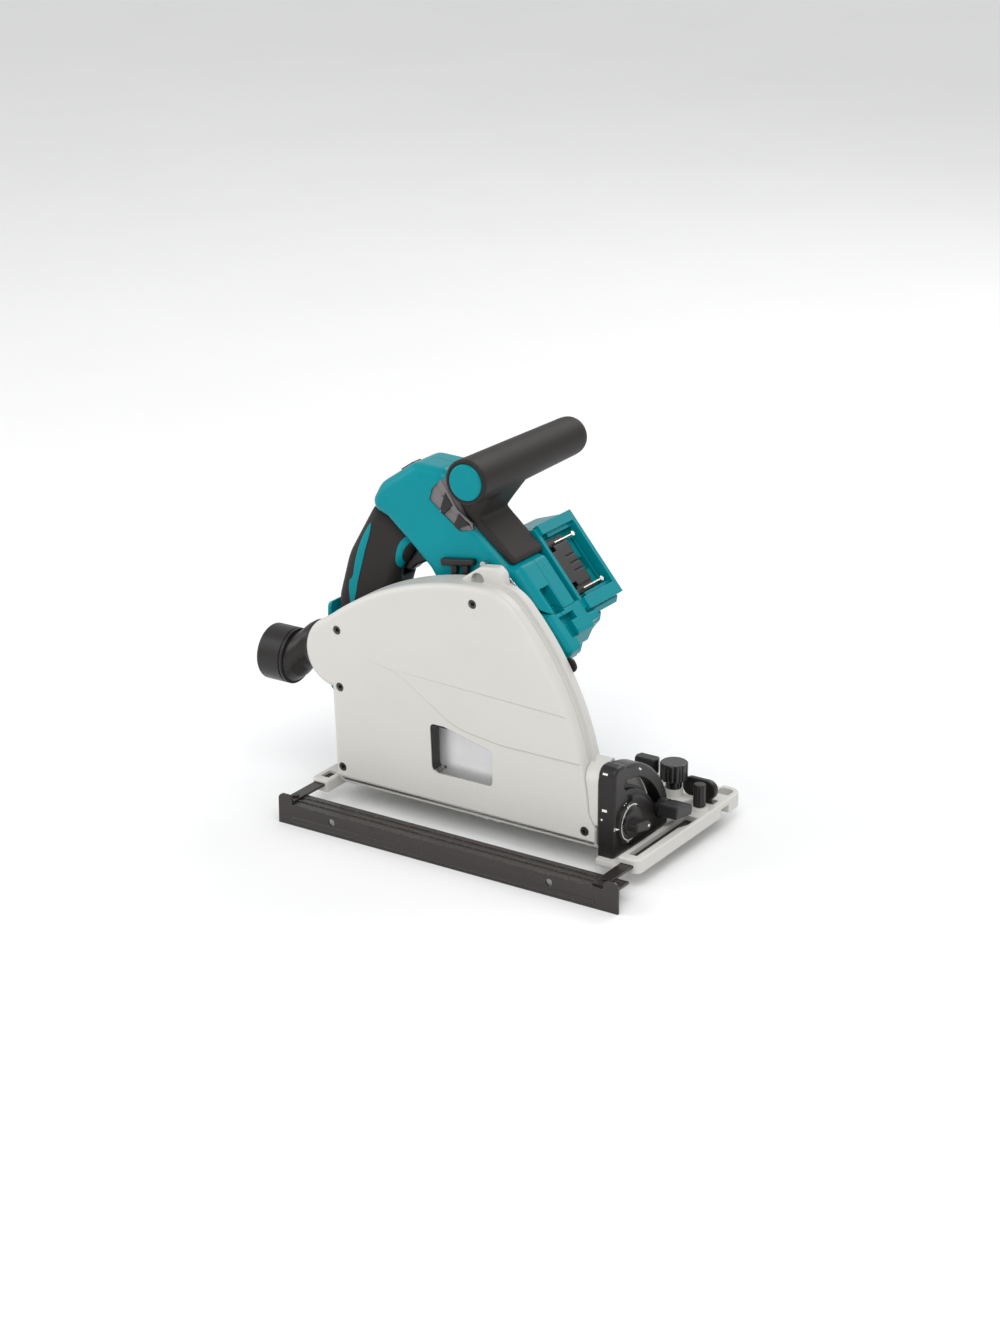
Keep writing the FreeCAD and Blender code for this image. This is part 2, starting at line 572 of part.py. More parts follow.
def case_cover():
    shell = case_solid(COVER_Y, SPLIT_Y - SEAM)
    shell = soften(shell, "y", COVER_Y, 5.0)
    shell = shell.cut(case_solid(COVER_Y + COVER_WALL, SPLIT_Y + 2, 3.5))
    for corners, deep in ((UPPER_FIELD, 0.6), (LOWER_FIELD, 1.6)):
        shell = shell.cut(sunken_field(corners, deep))
    shell = shell.cut(slab("y", WINDOW, COVER_Y - 2, SPLIT_Y))
    inside = case_solid(COVER_Y, SPLIT_Y)
    bosses = [rod("y", at, COVER_Y + 2, SPLIT_Y - SEAM, 5.5).common(inside) for at in COVER_SCREWS]
    shell = join([shell] + bosses)
    tools = []
    for at in COVER_SCREWS:
        tools.append(rod("y", at, COVER_Y - 1, COVER_Y + 4.5, 4.0))
        tools.append(rod("y", at, COVER_Y - 1, SPLIT_Y + 1, 2.2))
    tools.append(bevel_relief())
    tools.append(rod("x", NOZZLE_IN, FLARE_X - 5, SOCKET_X + 0.3, NOZZLE_OUTER + SEAM))
    return cut(shell, tools).removeSplitter()


def cover_screws():
    screws = []
    for at in COVER_SCREWS:
        head = rod("y", at, COVER_Y + 1.0, COVER_Y + 4.5, 3.5)
        corners = []
        for i in range(6):
            corners.append(on_circle(at, 1.9, 60 * i))
        head = head.cut(slab("y", corners, COVER_Y + 0.5, COVER_Y + 3.2))
        screws.append(join([head, rod("y", at, COVER_Y + 4, SPLIT_Y + 8, 1.95)]))
    return Part.makeCompound(screws)


def depth_scale():
    """Toothed steel strip along the arc, read by the depth stop."""
    y0 = CASE_WALL_Y + 0.02
    strip = arc_slot("y", PIVOT, 252.0, 3.0, 18, 50, y0, y0 + 0.8)
    for i in range(30):
        strip = strip.cut(rod("y", on_circle(PIVOT, 256.2, 19 + i * 1.05), y0 - 1, y0 + 2, 1.6))
    return strip


STOP_REST = 31.0
STOP_PIN = on_circle(PIVOT, 243.0, STOP_REST + PLUNGE_ANGLE + 4.0)


def depth_stop():
    """Slider on the case arc that ends the plunge."""
    y0 = CASE_WALL_Y + 1.2
    block = arc_slot("y", PIVOT, 246.0, 6.5, STOP_REST - 2.4, STOP_REST + 1.2, y0, y0 + 2.8)
    pointer = arc_slot("y", PIVOT, 257.0, 5.0, STOP_REST - 0.6, STOP_REST + 0.0, y0, y0 + 2)
    knob_at = on_circle(PIVOT, 246.0, STOP_REST - 0.6)
    return cut(join([block, pointer]), [rod("y", knob_at, y0 - 1, y0 + 9, 2 + RUNNING)])


def depth_stop_knob():
    y0 = CASE_WALL_Y + 1.2
    at = on_circle(PIVOT, 246.0, STOP_REST - 0.6)
    return join([fluted("y", at, y0 + 3.1, y0 + 5.6, 8.0, 14, 0.6), rod("y", at, y0 + 0.2, y0 + 4, 2.0)])


def pivot_shaft():
    pin = rod("y", PIVOT, -61, -27, 5.0)
    clip = ring("y", PIVOT, -28.2, -27.2, 6.2, 4.5)
    return join([pin, clip])


def plunge_spring():
    """Torsion coil round the pivot, with one straight leg on the case side."""
    turns, wire, pitch = 3.0, 1.0, 2.4
    helix = Part.makeHelix(pitch, pitch * turns, 7.2)
    profile = Part.Wire([Part.makeCircle(wire, V(7.2, 0, 0), V(0, 1, 0))])
    coil = Part.Wire(helix).makePipeShell([profile], True, True)
    coil.rotate(V(0, 0, 0), V(1, 0, 0), -90)
    coil.translate(V(PIVOT_X, -37.5, PIVOT_Z))
    return coil


CUFF_Z = 108.0
CUFF_Y = -63.0
CUFF_RADIUS = 24.5
NOZZLE_MOUTH_X = -220.0
CUFF_END_X = -193.0
NECK_RADIUS = 22.0


def dust_elbow():
    """Nozzle body: sleeve on the case collar, a drop, and the neck of the cuff."""
    drop = [(-175.0, NOZZLE_IN[0], NOZZLE_IN[1], NOZZLE_OUTER), (-180.0, -59.5, 120.0, 20.5),
            (-186.5, -61.5, 112.5, 21.6), (-192.5, CUFF_Y, CUFF_Z, NECK_RADIUS),
            (-196.0, CUFF_Y, CUFF_Z, NECK_RADIUS)]
    outer = Part.makeLoft([circle_x(x, (y, z), r) for x, y, z, r in drop], True, True)
    inner = Part.makeLoft([circle_x(x, (y, z), r - NOZZLE_WALL) for x, y, z, r in drop], True, True)
    sleeve = rod("x", NOZZLE_IN, -175, SOCKET_X, NOZZLE_OUTER)
    neck = rod("x", (CUFF_Y, CUFF_Z), -204, -196, NECK_RADIUS)
    body = join([sleeve, outer, neck]).cut(inner)
    return cut(body, [rod("x", NOZZLE_IN, -175, -140, NOZZLE_OUTER - NOZZLE_WALL),
                      rod("x", (CUFF_Y, CUFF_Z), -208, -196, NECK_RADIUS - NOZZLE_WALL)])


def dust_cuff():
    """End ring of the nozzle, with a groove behind its lip."""
    at = (CUFF_Y, CUFF_Z)
    ringed = rod("x", at, NOZZLE_MOUTH_X, CUFF_END_X, CUFF_RADIUS)
    ringed = soften(ringed, "x", NOZZLE_MOUTH_X, 2.5)
    ringed = soften(ringed, "x", CUFF_END_X, 1.0)
    groove = ring("x", at, CUFF_END_X - 3.5, CUFF_END_X - 2.2, CUFF_RADIUS + 2, CUFF_RADIUS - 1.2)
    return cut(ringed, [rod("x", at, NOZZLE_MOUTH_X - 2, -204, 18.0),
                        rod("x", at, -204.5, CUFF_END_X + 1, NECK_RADIUS), groove])


# ---- Blade, spindle and gears -----------------------------------------------
UNIT_Y = -51.0            # first face of the plunging unit beyond the case wall


def toothed(teeth, module, centre, y0, y1, first):
    """Straight-cut gear, each tooth a trapezium a little thinner than half the pitch."""
    pitch = teeth * module / 2
    root = pitch - 1.2 * module
    tip = pitch + 0.8 * module
    step = 2 * math.pi / teeth
    root_half = step * 0.33
    tip_half = step * 0.12
    points = []
    for i in range(teeth):
        angle = math.radians(first) + i * step
        for radius, offset in ((root, -root_half), (tip, -tip_half), (tip, tip_half), (root, root_half)):
            a = angle + offset
            points.append(V(centre[0] + radius * math.cos(a), y0, centre[1] + radius * math.sin(a)))
    points.append(points[0])
    return Part.Face(Part.makePolygon(points)).extrude(V(0, y1 - y0, 0))


def saw_blade():
    half = BLADE_THICK / 2
    teeth = 48
    step = 2 * math.pi / teeth
    points = []
    for i in range(teeth):
        angle = -i * step
        for deep, turn in ((6.5, 0.0), (0.0, 0.10), (1.2, 0.62), (4.5, 0.74)):
            a = angle - turn * step
            x = SPINDLE_X + (BLADE_R - deep) * math.cos(a)
            z = SPINDLE_Z + (BLADE_R - deep) * math.sin(a)
            points.append(V(x, BLADE_Y - half, z))
    points.append(points[0])
    disc = Part.Face(Part.makePolygon(points)).extrude(V(0, BLADE_THICK, 0))
    tools = [rod("y", SPINDLE, BLADE_Y - 3, BLADE_Y + 3, 10.0)]
    for i in range(4):
        a = 45 + 90 * i
        hole = on_circle(SPINDLE, 62, a)
        tools.append(rod("y", hole, BLADE_Y - 3, BLADE_Y + 3, 1.8))
        slot = box(62, 90, BLADE_Y - 3, BLADE_Y + 3, -0.5, 0.5)
        slot.rotate(V(0, 0, 0), V(0, 1, 0), -a)
        slot.translate(V(SPINDLE_X, 0, SPINDLE_Z))
        tools.append(slot)
    return cut(disc, tools)


def blade_flanges():
    """The clamping washers on both sides of the blade."""
    outer = ring("y", SPINDLE, BLADE_Y - 3.9, BLADE_Y - 0.9, FLANGE_RADIUS, 4.1)
    inner = ring("y", SPINDLE, BLADE_Y + 0.9, BLADE_Y + 5.0, FLANGE_RADIUS, 10.0)
    return Part.makeCompound([outer, inner])


def blade_bolt():
    head = rod("y", SPINDLE, -76, BLADE_Y - 3.9, 8)
    corners = [on_circle(SPINDLE, 3.0, 60 * i) for i in range(6)]
    head = head.cut(slab("y", corners, -77, -73))
    return join([head, rod("y", SPINDLE, BLADE_Y - 4.5, -52, 4.0)])


def spindle():
    nose = rod("y", SPINDLE, BLADE_Y - 0.8, BLADE_Y + 5.0, 9.98)
    shaft = rod("y", SPINDLE, BLADE_Y + 4, -26, 7.5)
    return join([nose, shaft]).cut(rod("y", SPINDLE, -80, -51, 4.05))


def driven_gear():
    gear = toothed(GEAR_TEETH, GEAR_MODULE, SPINDLE, -46, -37, MOTOR_LEAN)
    return gear.cut(rod("y", SPINDLE, -50, -30, 7.5))


def idler_gear():
    """Gear between the pinion and the driven gear, on its own short shaft."""
    half_pitch = 180.0 / IDLER_TEETH
    gear = toothed(IDLER_TEETH, GEAR_MODULE, IDLER, -46, -37, MOTOR_LEAN + 180 + half_pitch)
    return join([gear, rod("y", IDLER, -50, -30, 4.0)])


def rotor_shaft():
    """Motor shaft with the pinion cut into its end."""
    gear = toothed(PINION_TEETH, GEAR_MODULE, MOTOR, -47, -36, MOTOR_LEAN + 180)
    return join([gear, rod("y", MOTOR, -36, 72, 4.0)])


def rotor_core():
    return ring("y", MOTOR, 2, 42, 14.5, 4.0)


def cooling_fan():
    hub = ring("y", MOTOR, 46, 56, 9, 4.0)
    disc = ring("y", MOTOR, 46, 47.5, 26, 4.0)
    blades = []
    for i in range(11):
        blade = box(8, 25.5, 47, 56, -0.7, 0.7)
        blade.rotate(V(8, 0, 0), V(0, 1, 0), 25)
        blade.rotate(V(0, 0, 0), V(0, 1, 0), i * 360.0 / 11)
        blade.translate(V(MOTOR[0], 0, MOTOR[1]))
        blades.append(blade)
    return join([hub, disc] + blades)


def ball_bearings():
    """Two bearings on the spindle and two on the motor shaft."""
    bearings = [ring("y", SPINDLE, -60, -50, 13, 7.5 + RUNNING)]
    bearings.append(ring("y", SPINDLE, -35, -29, 11, 7.5 + RUNNING))
    bearings.append(ring("y", MOTOR, -27, -20, 9, 4.0 + RUNNING))
    bearings.append(ring("y", MOTOR, 63, 69, 9, 4.0 + RUNNING))
    return Part.makeCompound(bearings)


# ---- Plunging unit: gear case, motor, handles -------------------------------
def gear_housing():
    """Aluminium gear case with the spindle nose and the arm to the pivot."""
    nose = rod("y", SPINDLE, -60.2, UNIT_Y + 1, 18.5)
    chamber = rod("y", SPINDLE, UNIT_Y, -24, 19.0)
    middle = rod("y", IDLER, UNIT_Y, -24, 19.0)
    tower = rod("y", MOTOR, UNIT_Y, -19.5, 24)
    corners = [(PIVOT_X - 2, PIVOT_Z - 8.5), (SPINDLE_X, SPINDLE_Z - 18), (SPINDLE_X - 16, SPINDLE_Z + 16),
               (PIVOT_X - 6, PIVOT_Z + 8)]
    arm = slab("y", corners, UNIT_Y, UNIT_Y + 8)
    corners = [(PIVOT_X + 12, PIVOT_Z + 2), (SPINDLE_X - 14, SPINDLE_Z - 4),
               (SPINDLE_X - 16, SPINDLE_Z + 4), (PIVOT_X + 10, PIVOT_Z + 8)]
    stiffener = slab("y", corners, UNIT_Y + 7, UNIT_Y + 15)
    boss = rod("y", PIVOT, UNIT_Y, UNIT_Y + 12, 9)
    body = join([nose, chamber, middle, tower, arm, stiffener, boss])
    tools = [rod("y", PIVOT, -70, -20, 5 + RUNNING),
             rod("y", SPINDLE, -60, -50, 13), rod("y", SPINDLE, -62, -26, 11),
             rod("y", SPINDLE, -48.5, -36, 16.8), rod("y", IDLER, -48.5, -36, 16.8),
             rod("y", IDLER, -50.2, -29.8, 4 + RUNNING), rod("y", MOTOR, -48.5, -30, 8.0),
             rod("y", MOTOR, -31, -15, 5.5), rod("y", MOTOR, -27, -15, 9.0)]
    return cut(body, tools)


UNIT_FACE = -45.0
HANDLE_SPLIT_Z = 186.0
REAR_BLOCK_Y = 48.0
CARRIER_LOW_Z = 168.0


def motor_shell():
    """Motor housing: round can behind a faceted front block."""
    can = rod("y", MOTOR, -19, 60, 31)
    foot_x, foot_z = on_slope(100.5, 0)
    heel_x, heel_z = on_slope(89, 0)
    back = [(49.3, HANDLE_SPLIT_Z), (-58, HANDLE_SPLIT_Z), (-56, 122, 8), (-40, 108, 8), (14, 106, 6),
            (30, 128, 6)]
    near = slab("y", back + [(52, 141, 5), (66, 150, 5), (foot_x, foot_z, 4)], UNIT_FACE, -25, 5, 3)
    far = slab("y", back + [(46, 144, 5), (58, 153, 5), (heel_x, heel_z, 4)], -26, 4)
    step = slope_slab(76.8, 86, -12, 0, 3, 17, 3)
    corners = [(-36, CARRIER_LOW_Z), (-34, 112), (-4, 103, 4), (26, 122, 4), (29, 134, 4), (45, 155, 4),
               (46, 162, 3), (42, CARRIER_LOW_Z)]
    rear = slab("y", corners, 3, REAR_BLOCK_Y, 0, 4)
    heel = slab("y", [(-176, 128, 6), (-60, 96, 4), (-30, 96), (-30, 150), (-60, 152, 8), (-122, 134, 8),
                      (-172, 142, 4)], GRIP_Y - 16, GRIP_Y + 18)
    body = join([can, near, far, step, rear, heel])
    tools = [rod("y", MOTOR, -25, 61, 28), rod("y", MOTOR, UNIT_FACE - 8, -18.8, 24.4),
             rod("y", SPINDLE, -52, -20, 19.6), rod("y", IDLER, -52, -20, 19.6)]
    corners = [(PIVOT_X - 2, PIVOT_Z - 9), (SPINDLE_X, SPINDLE_Z - 19), (SPINDLE_X - 17, SPINDLE_Z + 17),
               (PIVOT_X - 7, PIVOT_Z + 9)]
    tools.append(slab("y", corners, UNIT_Y - 1, UNIT_Y + 16))
    tools.append(front_groove())
    tools.append(slope_slab(70, 77, -7, 3, -33, -11, 2))
    tools.append(slope_slab(75, 90, -6, 3, -32, -20, 2))
    bed_edge = [(30, CARRIER_LOW_Z + 0.05), (52.4, CARRIER_LOW_Z + 0.05), (54.7, 180.3), (30, 200)]
    tools.append(slab("y", bed_edge, 4.05, 60))
    tools.append(rod("y", SHAFT_LOCK, REAR_BLOCK_Y - 10, REAR_BLOCK_Y + 2, 5.0))
    tools.append(slab("y", [(-32, 152, 3), (10, 152, 3), (8, 180, 3), (-34, 180, 3)], -38, -2))
    tools.append(box(-26, 27, 8, REAR_BLOCK_Y - 6, 140, CARRIER_LOW_Z - 3))
    return cut(body, tools)


def motor_end_cap():
    """End cap of the motor with its cooling slots."""
    cap = rod("y", MOTOR, 60.3, 80, 31)
    cap = soften(cap, "y", 80, 7)
    cap = cap.cut(rod("y", MOTOR, 59, 76.5, 27.5))
    cap = join([cap, ring("y", MOTOR, 62.5, 78, 12, 9.0)])
    tools = []
    for i in range(12):
        slot = box(15, 24, 72, 90, -1.5, 1.5)
        slot.rotate(V(0, 0, 0), V(0, 1, 0), i * 30)
        slot.translate(V(MOTOR[0], 0, MOTOR[1]))
        tools.append(slot)
    return cut(cap, tools)


def stator():
    """Laminated core with its coils."""
    core = ring("y", MOTOR, 4, 40, 27.9, 15.2)
    tools = []
    for i in range(6):
        tools.append(rod("y", on_circle(MOTOR, 21, 60 * i), 3, 41, 3.6))
    coils = [rod("y", on_circle(MOTOR, 21, 60 * i), 1, 43, 3.5) for i in range(6)]
    return Part.makeCompound([cut(core, tools)] + coils)


# The front battery carrier faces forward and up. Its face runs down a slope.
SLOPE_TOP = (7.0, 236.0)
SLOPE_LOW = (51.0, 184.0)


def slope_frame():
    dx = SLOPE_LOW[0] - SLOPE_TOP[0]
    dz = SLOPE_LOW[1] - SLOPE_TOP[1]
    length = math.hypot(dx, dz)
    down = (dx / length, dz / length)
    out = (-down[1], down[0])
    return down, out, length


def on_slope(along, out_by):
    """Point in the XZ plane: along down the slope from its top, out_by off its face."""
    down, out, _ = slope_frame()
    x = SLOPE_TOP[0] + down[0] * along + out[0] * out_by
    z = SLOPE_TOP[1] + down[1] * along + out[1] * out_by
    return (x, z)


def slope_slab(along0, along1, out0, out1, y0, y1, soft=0.0):
    corners = [on_slope(along0, out0) + (soft,), on_slope(along1, out0) + (soft,),
               on_slope(along1, out1) + (soft,), on_slope(along0, out1) + (soft,)]
    return slab("y", corners, y0, y1)


CARRIER_Y0 = 4.4
CARRIER_Y1 = 60.0


def battery_carrier_front():
    """Open bed with hooked rails at both ends; the battery slides on along +Y."""
    corners = [(-34, CARRIER_LOW_Z + 0.4), (-34, 226, 10), on_slope(-4, 0), on_slope(73, 0),
               (52, CARRIER_LOW_Z + 0.4)]
    body = slab("y", corners, CARRIER_Y0, CARRIER_Y1)
    body = join([body, slope_slab(-6, 76, -3.5, 2.5, CARRIER_Y0 + 4, CARRIER_Y1)])
    tools = [slope_slab(3, 65, -7.5, 6, CARRIER_Y0 + 4, CARRIER_Y1 - 4.5, 3)]
    tools.append(slope_slab(14, 61, -13, -7, CARRIER_Y1 - 9, CARRIER_Y1 - 5.5, 1))
    tools.append(slope_slab(-7, 0, -5, -1.5, CARRIER_Y0 + 10, CARRIER_Y1 + 1))
    tools.append(slope_slab(70, 77, -5, -1.5, CARRIER_Y0 + 10, CARRIER_Y1 + 1))
    tools.append(box(-28, 30, CARRIER_Y0 + 4, CARRIER_Y1 - 8, CARRIER_LOW_Z + 4, 206))
    body = cut(body, tools)
    ribs = []
    for along in (3, 61.5):
        ribs.append(slope_slab(along, along + 3.5, -4.5, -1.5, CARRIER_Y0 + 14, CARRIER_Y1 - 4))
    return join([body] + ribs)


def terminal_block_front_solid():
    base = slope_slab(9, 61, -7.4, -4.5, CARRIER_Y0 + 4.5, 40, 1)
    tower = slope_slab(15, 54, -5, -1.5, CARRIER_Y0 + 5, 38, 1)
    slots = [slope_slab(14, 20, -6.4, 3, 10, 17), slope_slab(50, 56, -6.4, 3, 10, 17)]
    for along in (27, 34, 41):
        slots.append(slope_slab(along, along + 1.5, -3, 5, 24, 41))
    return cut(join([base, tower]), slots)


def battery_contacts():
    """Two blade contacts, each with a round pin at its far end."""
    _, out, _ = slope_frame()
    contacts = []
    for along in (13.0, 58.0):
        strip = slope_slab(along - 0.6, along + 0.6, -4.4, -0.5, 20, 47.5)
        x, z = on_slope(along, -7.4)
        pin = Part.makeCylinder(2.2, 7.4, V(x, 48.3, z), V(out[0], 0, out[1]))
        contacts.append(join([strip, pin]))
    return Part.makeCompound(contacts)


REAR_CARRIER_X = -186.0
REAR_BLOCK = [(8, 92, 2), (50, 92, 2), (50, 138, 2), (8, 138, 2)]


def battery_carrier_rear():
    """Rear carrier: faces backwards, below the handle."""
    outer = [(REAR_CARRIER_X, 78, 4), (-173, 62, 4), (-163, 62, 3), (-160, 75, 4), (-128, 90, 6),
             (-60, 96.5, 0), (-60, 122, 0), (-120, 127, 6), (-172.5, 140, 3), (-174, 153, 3),
             (REAR_CARRIER_X + 3, 150, 5)]
    body = slab("y", outer, -34, 62, 4, 4)
    body = body.cut(box(-177.5, -50, GRIP_Y - 22, 0.4, 60, 160))
    body = body.cut(slab("y", [(-176, 90, 4), (-150, 84, 4), (-82, 100, 2), (-82, 117, 2), (-122, 120, 4),
                               (-174, 138, 4)], 6, 58))
    body = body.cut(rod("y", MOTOR, -40, 90, 31.3))
    body = body.cut(box(REAR_CARRIER_X - 1, REAR_CARRIER_X + 5, 6, 64, 88, 142))
    body = body.cut(slab("x", REAR_BLOCK, REAR_CARRIER_X + 4, REAR_CARRIER_X + 8))
    return body


def terminal_block_rear_solid():
    base = slab("x", REAR_BLOCK, REAR_CARRIER_X + 5, REAR_CARRIER_X + 8)
    tower = slab("x", [(10, 98, 2), (38, 98, 2), (38, 132, 2), (10, 132, 2)],
                 REAR_CARRIER_X, REAR_CARRIER_X + 6)
    slots = [box(REAR_CARRIER_X - 1, REAR_CARRIER_X + 4, 18, 40, z, z + 3) for z in (103, 113.5, 124)]
    return cut(join([base, tower]), slots)


def terminal_blocks():
    return Part.makeCompound([terminal_block_front_solid(), terminal_block_rear_solid()])


# The rear handle is a clamshell round a rubber covered grip.
HANDLE = [(-131, 249, 10), (-119, 271, 22), (-86, 294, 16), (-54, 293, 12), (-33, 257, 10), (9, 223, 6),
          (19, 221.8, 5), (49, HANDLE_SPLIT_Z + 0.4), (-56, HANDLE_SPLIT_Z + 0.4), (-69, 205, 6),
          (-88, 222, 6), (-112, 242, 5)]
GRIP = [(-132.5, 248, 6), (-112.4, 241.6, 3), (-89, 221.5, 4), (-95, 208, 8), (-104, 196, 6),
        (-110, 176, 30), (-121, 150, 20), (-123, 134.5, 3), (-171, 142.5, 3), (-171, 160, 30),
        (-160, 200, 60)]
TRIGGER_PIVOT = (-97.0, 213.0)
PANEL = [(-67, 266, 2), (-64, 277, 2), (-56, 284, 2), (-41, 263, 3), (-26, 254, 2), (-24, 247, 2),
         (-36, 244, 3), (-52, 255, 3)]
PANEL_RIBS = [[(-54, 272), (-46, 267), (-56, 257)], [(-40, 260), (-30, 254), (-41, 248)]]


def front_groove():
    """Groove down the sloping front, shared by the handle and the motor housing."""
    return slope_slab(42, 67, -9, 3, -34.5, -20, 2)


def handle_half(y0, y1, outer_low):
    soft_low, soft_high = (9, 0) if outer_low else (0, 9)
    return slab("y", HANDLE, y0, y1, soft_low, soft_high)


def handle_right():
    body = handle_half(UNIT_FACE, GRIP_Y - SEAM / 2, True)
    tools = [slab("y", PANEL, UNIT_FACE - 1, UNIT_FACE + 3)]
    tools.append(slab("y", inner_hollow(), UNIT_FACE + 6, GRIP_Y + 1))
    tools.append(front_groove())
    tools.append(lock_off_box(0.4, 3.0))
    tools.append(rod("y", STOP_PIN, UNIT_Y, UNIT_FACE + 6, 3.0))
    tools.append(rod("y", LEVER_AT, UNIT_FACE - 8, UNIT_FACE + 9, 3 + RUNNING))
    return cut(body, tools)


def inner_hollow():
    return [(-104, 254, 6), (-84, 272, 12), (-62, 276, 8), (-46, 252, 12), (4, 216, 6), (22, 194, 2),
            (-40, 194, 4), (-62, 222, 6), (-84, 236, 6)]


def handle_left():
    body = handle_half(GRIP_Y + SEAM / 2, 4, False)
    return cut(body, [slab("y", inner_hollow(), GRIP_Y - 1, -4), lock_off_box(0.4, 3.0)])


def handle_grip():
    body = slab("y", GRIP, GRIP_Y - GRIP_HALF, GRIP_Y + GRIP_HALF, 10, 10)
    cavity = [(-118, 186), (-84, 186), (-84, 219, 2), (-100, 224, 4), (-118, 216, 4)]
    return body.cut(slab("y", cavity, GRIP_Y - 8, GRIP_Y + 8))


def trigger():
    x, z = TRIGGER_PIVOT
    blade = [(x - 8, z + 6, 3), (x + 10, z + 4, 3), (x + 18, z - 1, 3), (x + 13, z - 10, 8),
             (x + 3, z - 15, 8), (x - 3, z - 21, 3), (x - 12, z - 20, 4)]
    return slab("y", blade, GRIP_Y - 7.4, GRIP_Y + 7.4, 2, 2)


# The lock-off button sits in the top of the handle arch and is pressed square to its slope.
LOCK_OFF = (-102.5, 282.5)
LOCK_OFF_ALONG = (0.8204, 0.5718)
LOCK_OFF_HALF = 7.5
LEVER_AT = (-40.0, 211.0)


def lock_off_box(gap, travel):
    ax, az = LOCK_OFF_ALONG
    corners = []
    for along, out_by in ((-1, -1), (1, -1), (1, 1), (-1, 1)):
        u = along * (LOCK_OFF_HALF + gap)
        w = 2.2 + gap if out_by > 0 else -6.0 - travel
        corners.append((LOCK_OFF[0] + ax * u - az * w, LOCK_OFF[1] + az * u + ax * w, 1.5))
    half = LOCK_OFF_HALF - 1 + gap
    return slab("y", corners, GRIP_Y - half, GRIP_Y + half)


def lock_off_button():
    cap = lock_off_box(0.0, 0.0)
    return soften(soften(cap, "y", GRIP_Y - LOCK_OFF_HALF + 1, 1.0), "y", GRIP_Y + LOCK_OFF_HALF - 1, 1.0)


def plunge_lever():
    """Lever at the root of the handle that frees the plunge."""
    x, z = LEVER_AT
    pad = slab("y", [(x - 13, z + 8, 1.5), (x + 20, z + 13, 2), (x + 21, z + 8, 2), (x - 12, z + 2, 2)],
               UNIT_FACE - 6.4, UNIT_FACE - 0.6, 1.5, 0)
    posts = []
    for at_x in (x - 2, x + 9):
        posts.append(slab("y", [(at_x, z + 8), (at_x, z - 9), (at_x + 5, z - 8), (at_x + 5, z + 9)],
                          UNIT_FACE - 5, UNIT_FACE - 0.6))
    return join([pad] + posts + [rod("y", LEVER_AT, UNIT_FACE - 3, UNIT_FACE + 8.5, 3)])


FRONT_BAR = (-15.0, 296.0)
STEM_Y0 = -42.0
STEM_Y1 = 4.0
STEM = [(-34, 262, 6), (-20, 257, 4), (14.5, 227, 3), (14.5, 217), (-34, 236)]
NECK = [(-46, 262), (-24, 250), (-19, 258, 8), (-12, 268, 10), (0, 284, 4), (-8, 298), (-38, 298, 8)]


def front_handle():
    """Cross handle: a bar along Y on a flat stem, with a fork under the bar."""
    at = V(FRONT_BAR[0], -70, FRONT_BAR[1])
    cone = Part.makeCone(19.5, 17.0, 160, at, V(0, 1, 0))
    nose = Part.makeSphere(17.0, V(FRONT_BAR[0], 88, FRONT_BAR[1]))
    nose = nose.common(box(-60, 40, 80, 96, 260, 330))
    bar = join([cone.common(box(-60, 40, -71, 88, 260, 330)), nose])
    saddle = slab("y", STEM, STEM_Y0, STEM_Y1, 2, 2)
    neck = slab("y", NECK, STEM_Y0, STEM_Y1, 5, 5)
    body = join([bar, saddle, neck])
    shell = slab("y", HANDLE, UNIT_FACE - 2, 6)
    body = body.cut(shell)
    return body.cut(rod("y", FRONT_BAR, -71, -66, 15.5))


def front_handle_cap():
    cap = rod("y", FRONT_BAR, -70.5, -66, 15.5)
    return soften(cap, "y", -70.5, 2.0)


def control_panel():
    body = slab("y", PANEL, UNIT_FACE + 1.4, UNIT_FACE + 3)
    shell = handle_half(UNIT_FACE - 0.9, GRIP_Y, True)
    body = body.common(shell)
    inside = slab("y", PANEL, UNIT_FACE - 1, UNIT_FACE + 3).common(shell)
    ribs = [slab("y", corners, UNIT_FACE - 0.8, UNIT_FACE + 2).common(inside) for corners in PANEL_RIBS]
    return join([body] + ribs)


SPEED_DIAL = (-62.0, 246.0)


def speed_dial():
    return fluted("y", SPEED_DIAL, 4.4, 7.5, 8.0, 16, 0.5)


def controller_board():
    return slab("y", [(-30, 156, 2), (6, 156, 2), (4, 177, 2), (-30, 177, 2)], -30, -8)


def trigger_switch():
    return slab("y", [(-76, 236), (-58, 230), (-46, 244), (-64, 262)], GRIP_Y - 8, GRIP_Y + 8)


SHAFT_LOCK = (4.0, 124.0)


def shaft_lock_button():
    return slab_round("y", SHAFT_LOCK, REAR_BLOCK_Y - 5, REAR_BLOCK_Y + 5, 4.5, 1.0)


def housing_screws():
    screws = []
    for x, z in ((-98, 262), (-64, 274), (-52, 200)):
        head = rod("y", (x, z), 4.0, 6.0, 3.4)
        corners = [on_circle((x, z), 1.6, 60 * i) for i in range(6)]
        screws.append(head.cut(slab("y", corners, 4.8, 7)))
    return Part.makeCompound(screws)


def depth_stop_pin():
    """Steel pin of the plunging unit that lands on the depth stop."""
    return rod("y", STOP_PIN, UNIT_Y + 0.2, UNIT_FACE + 6, 3.0)


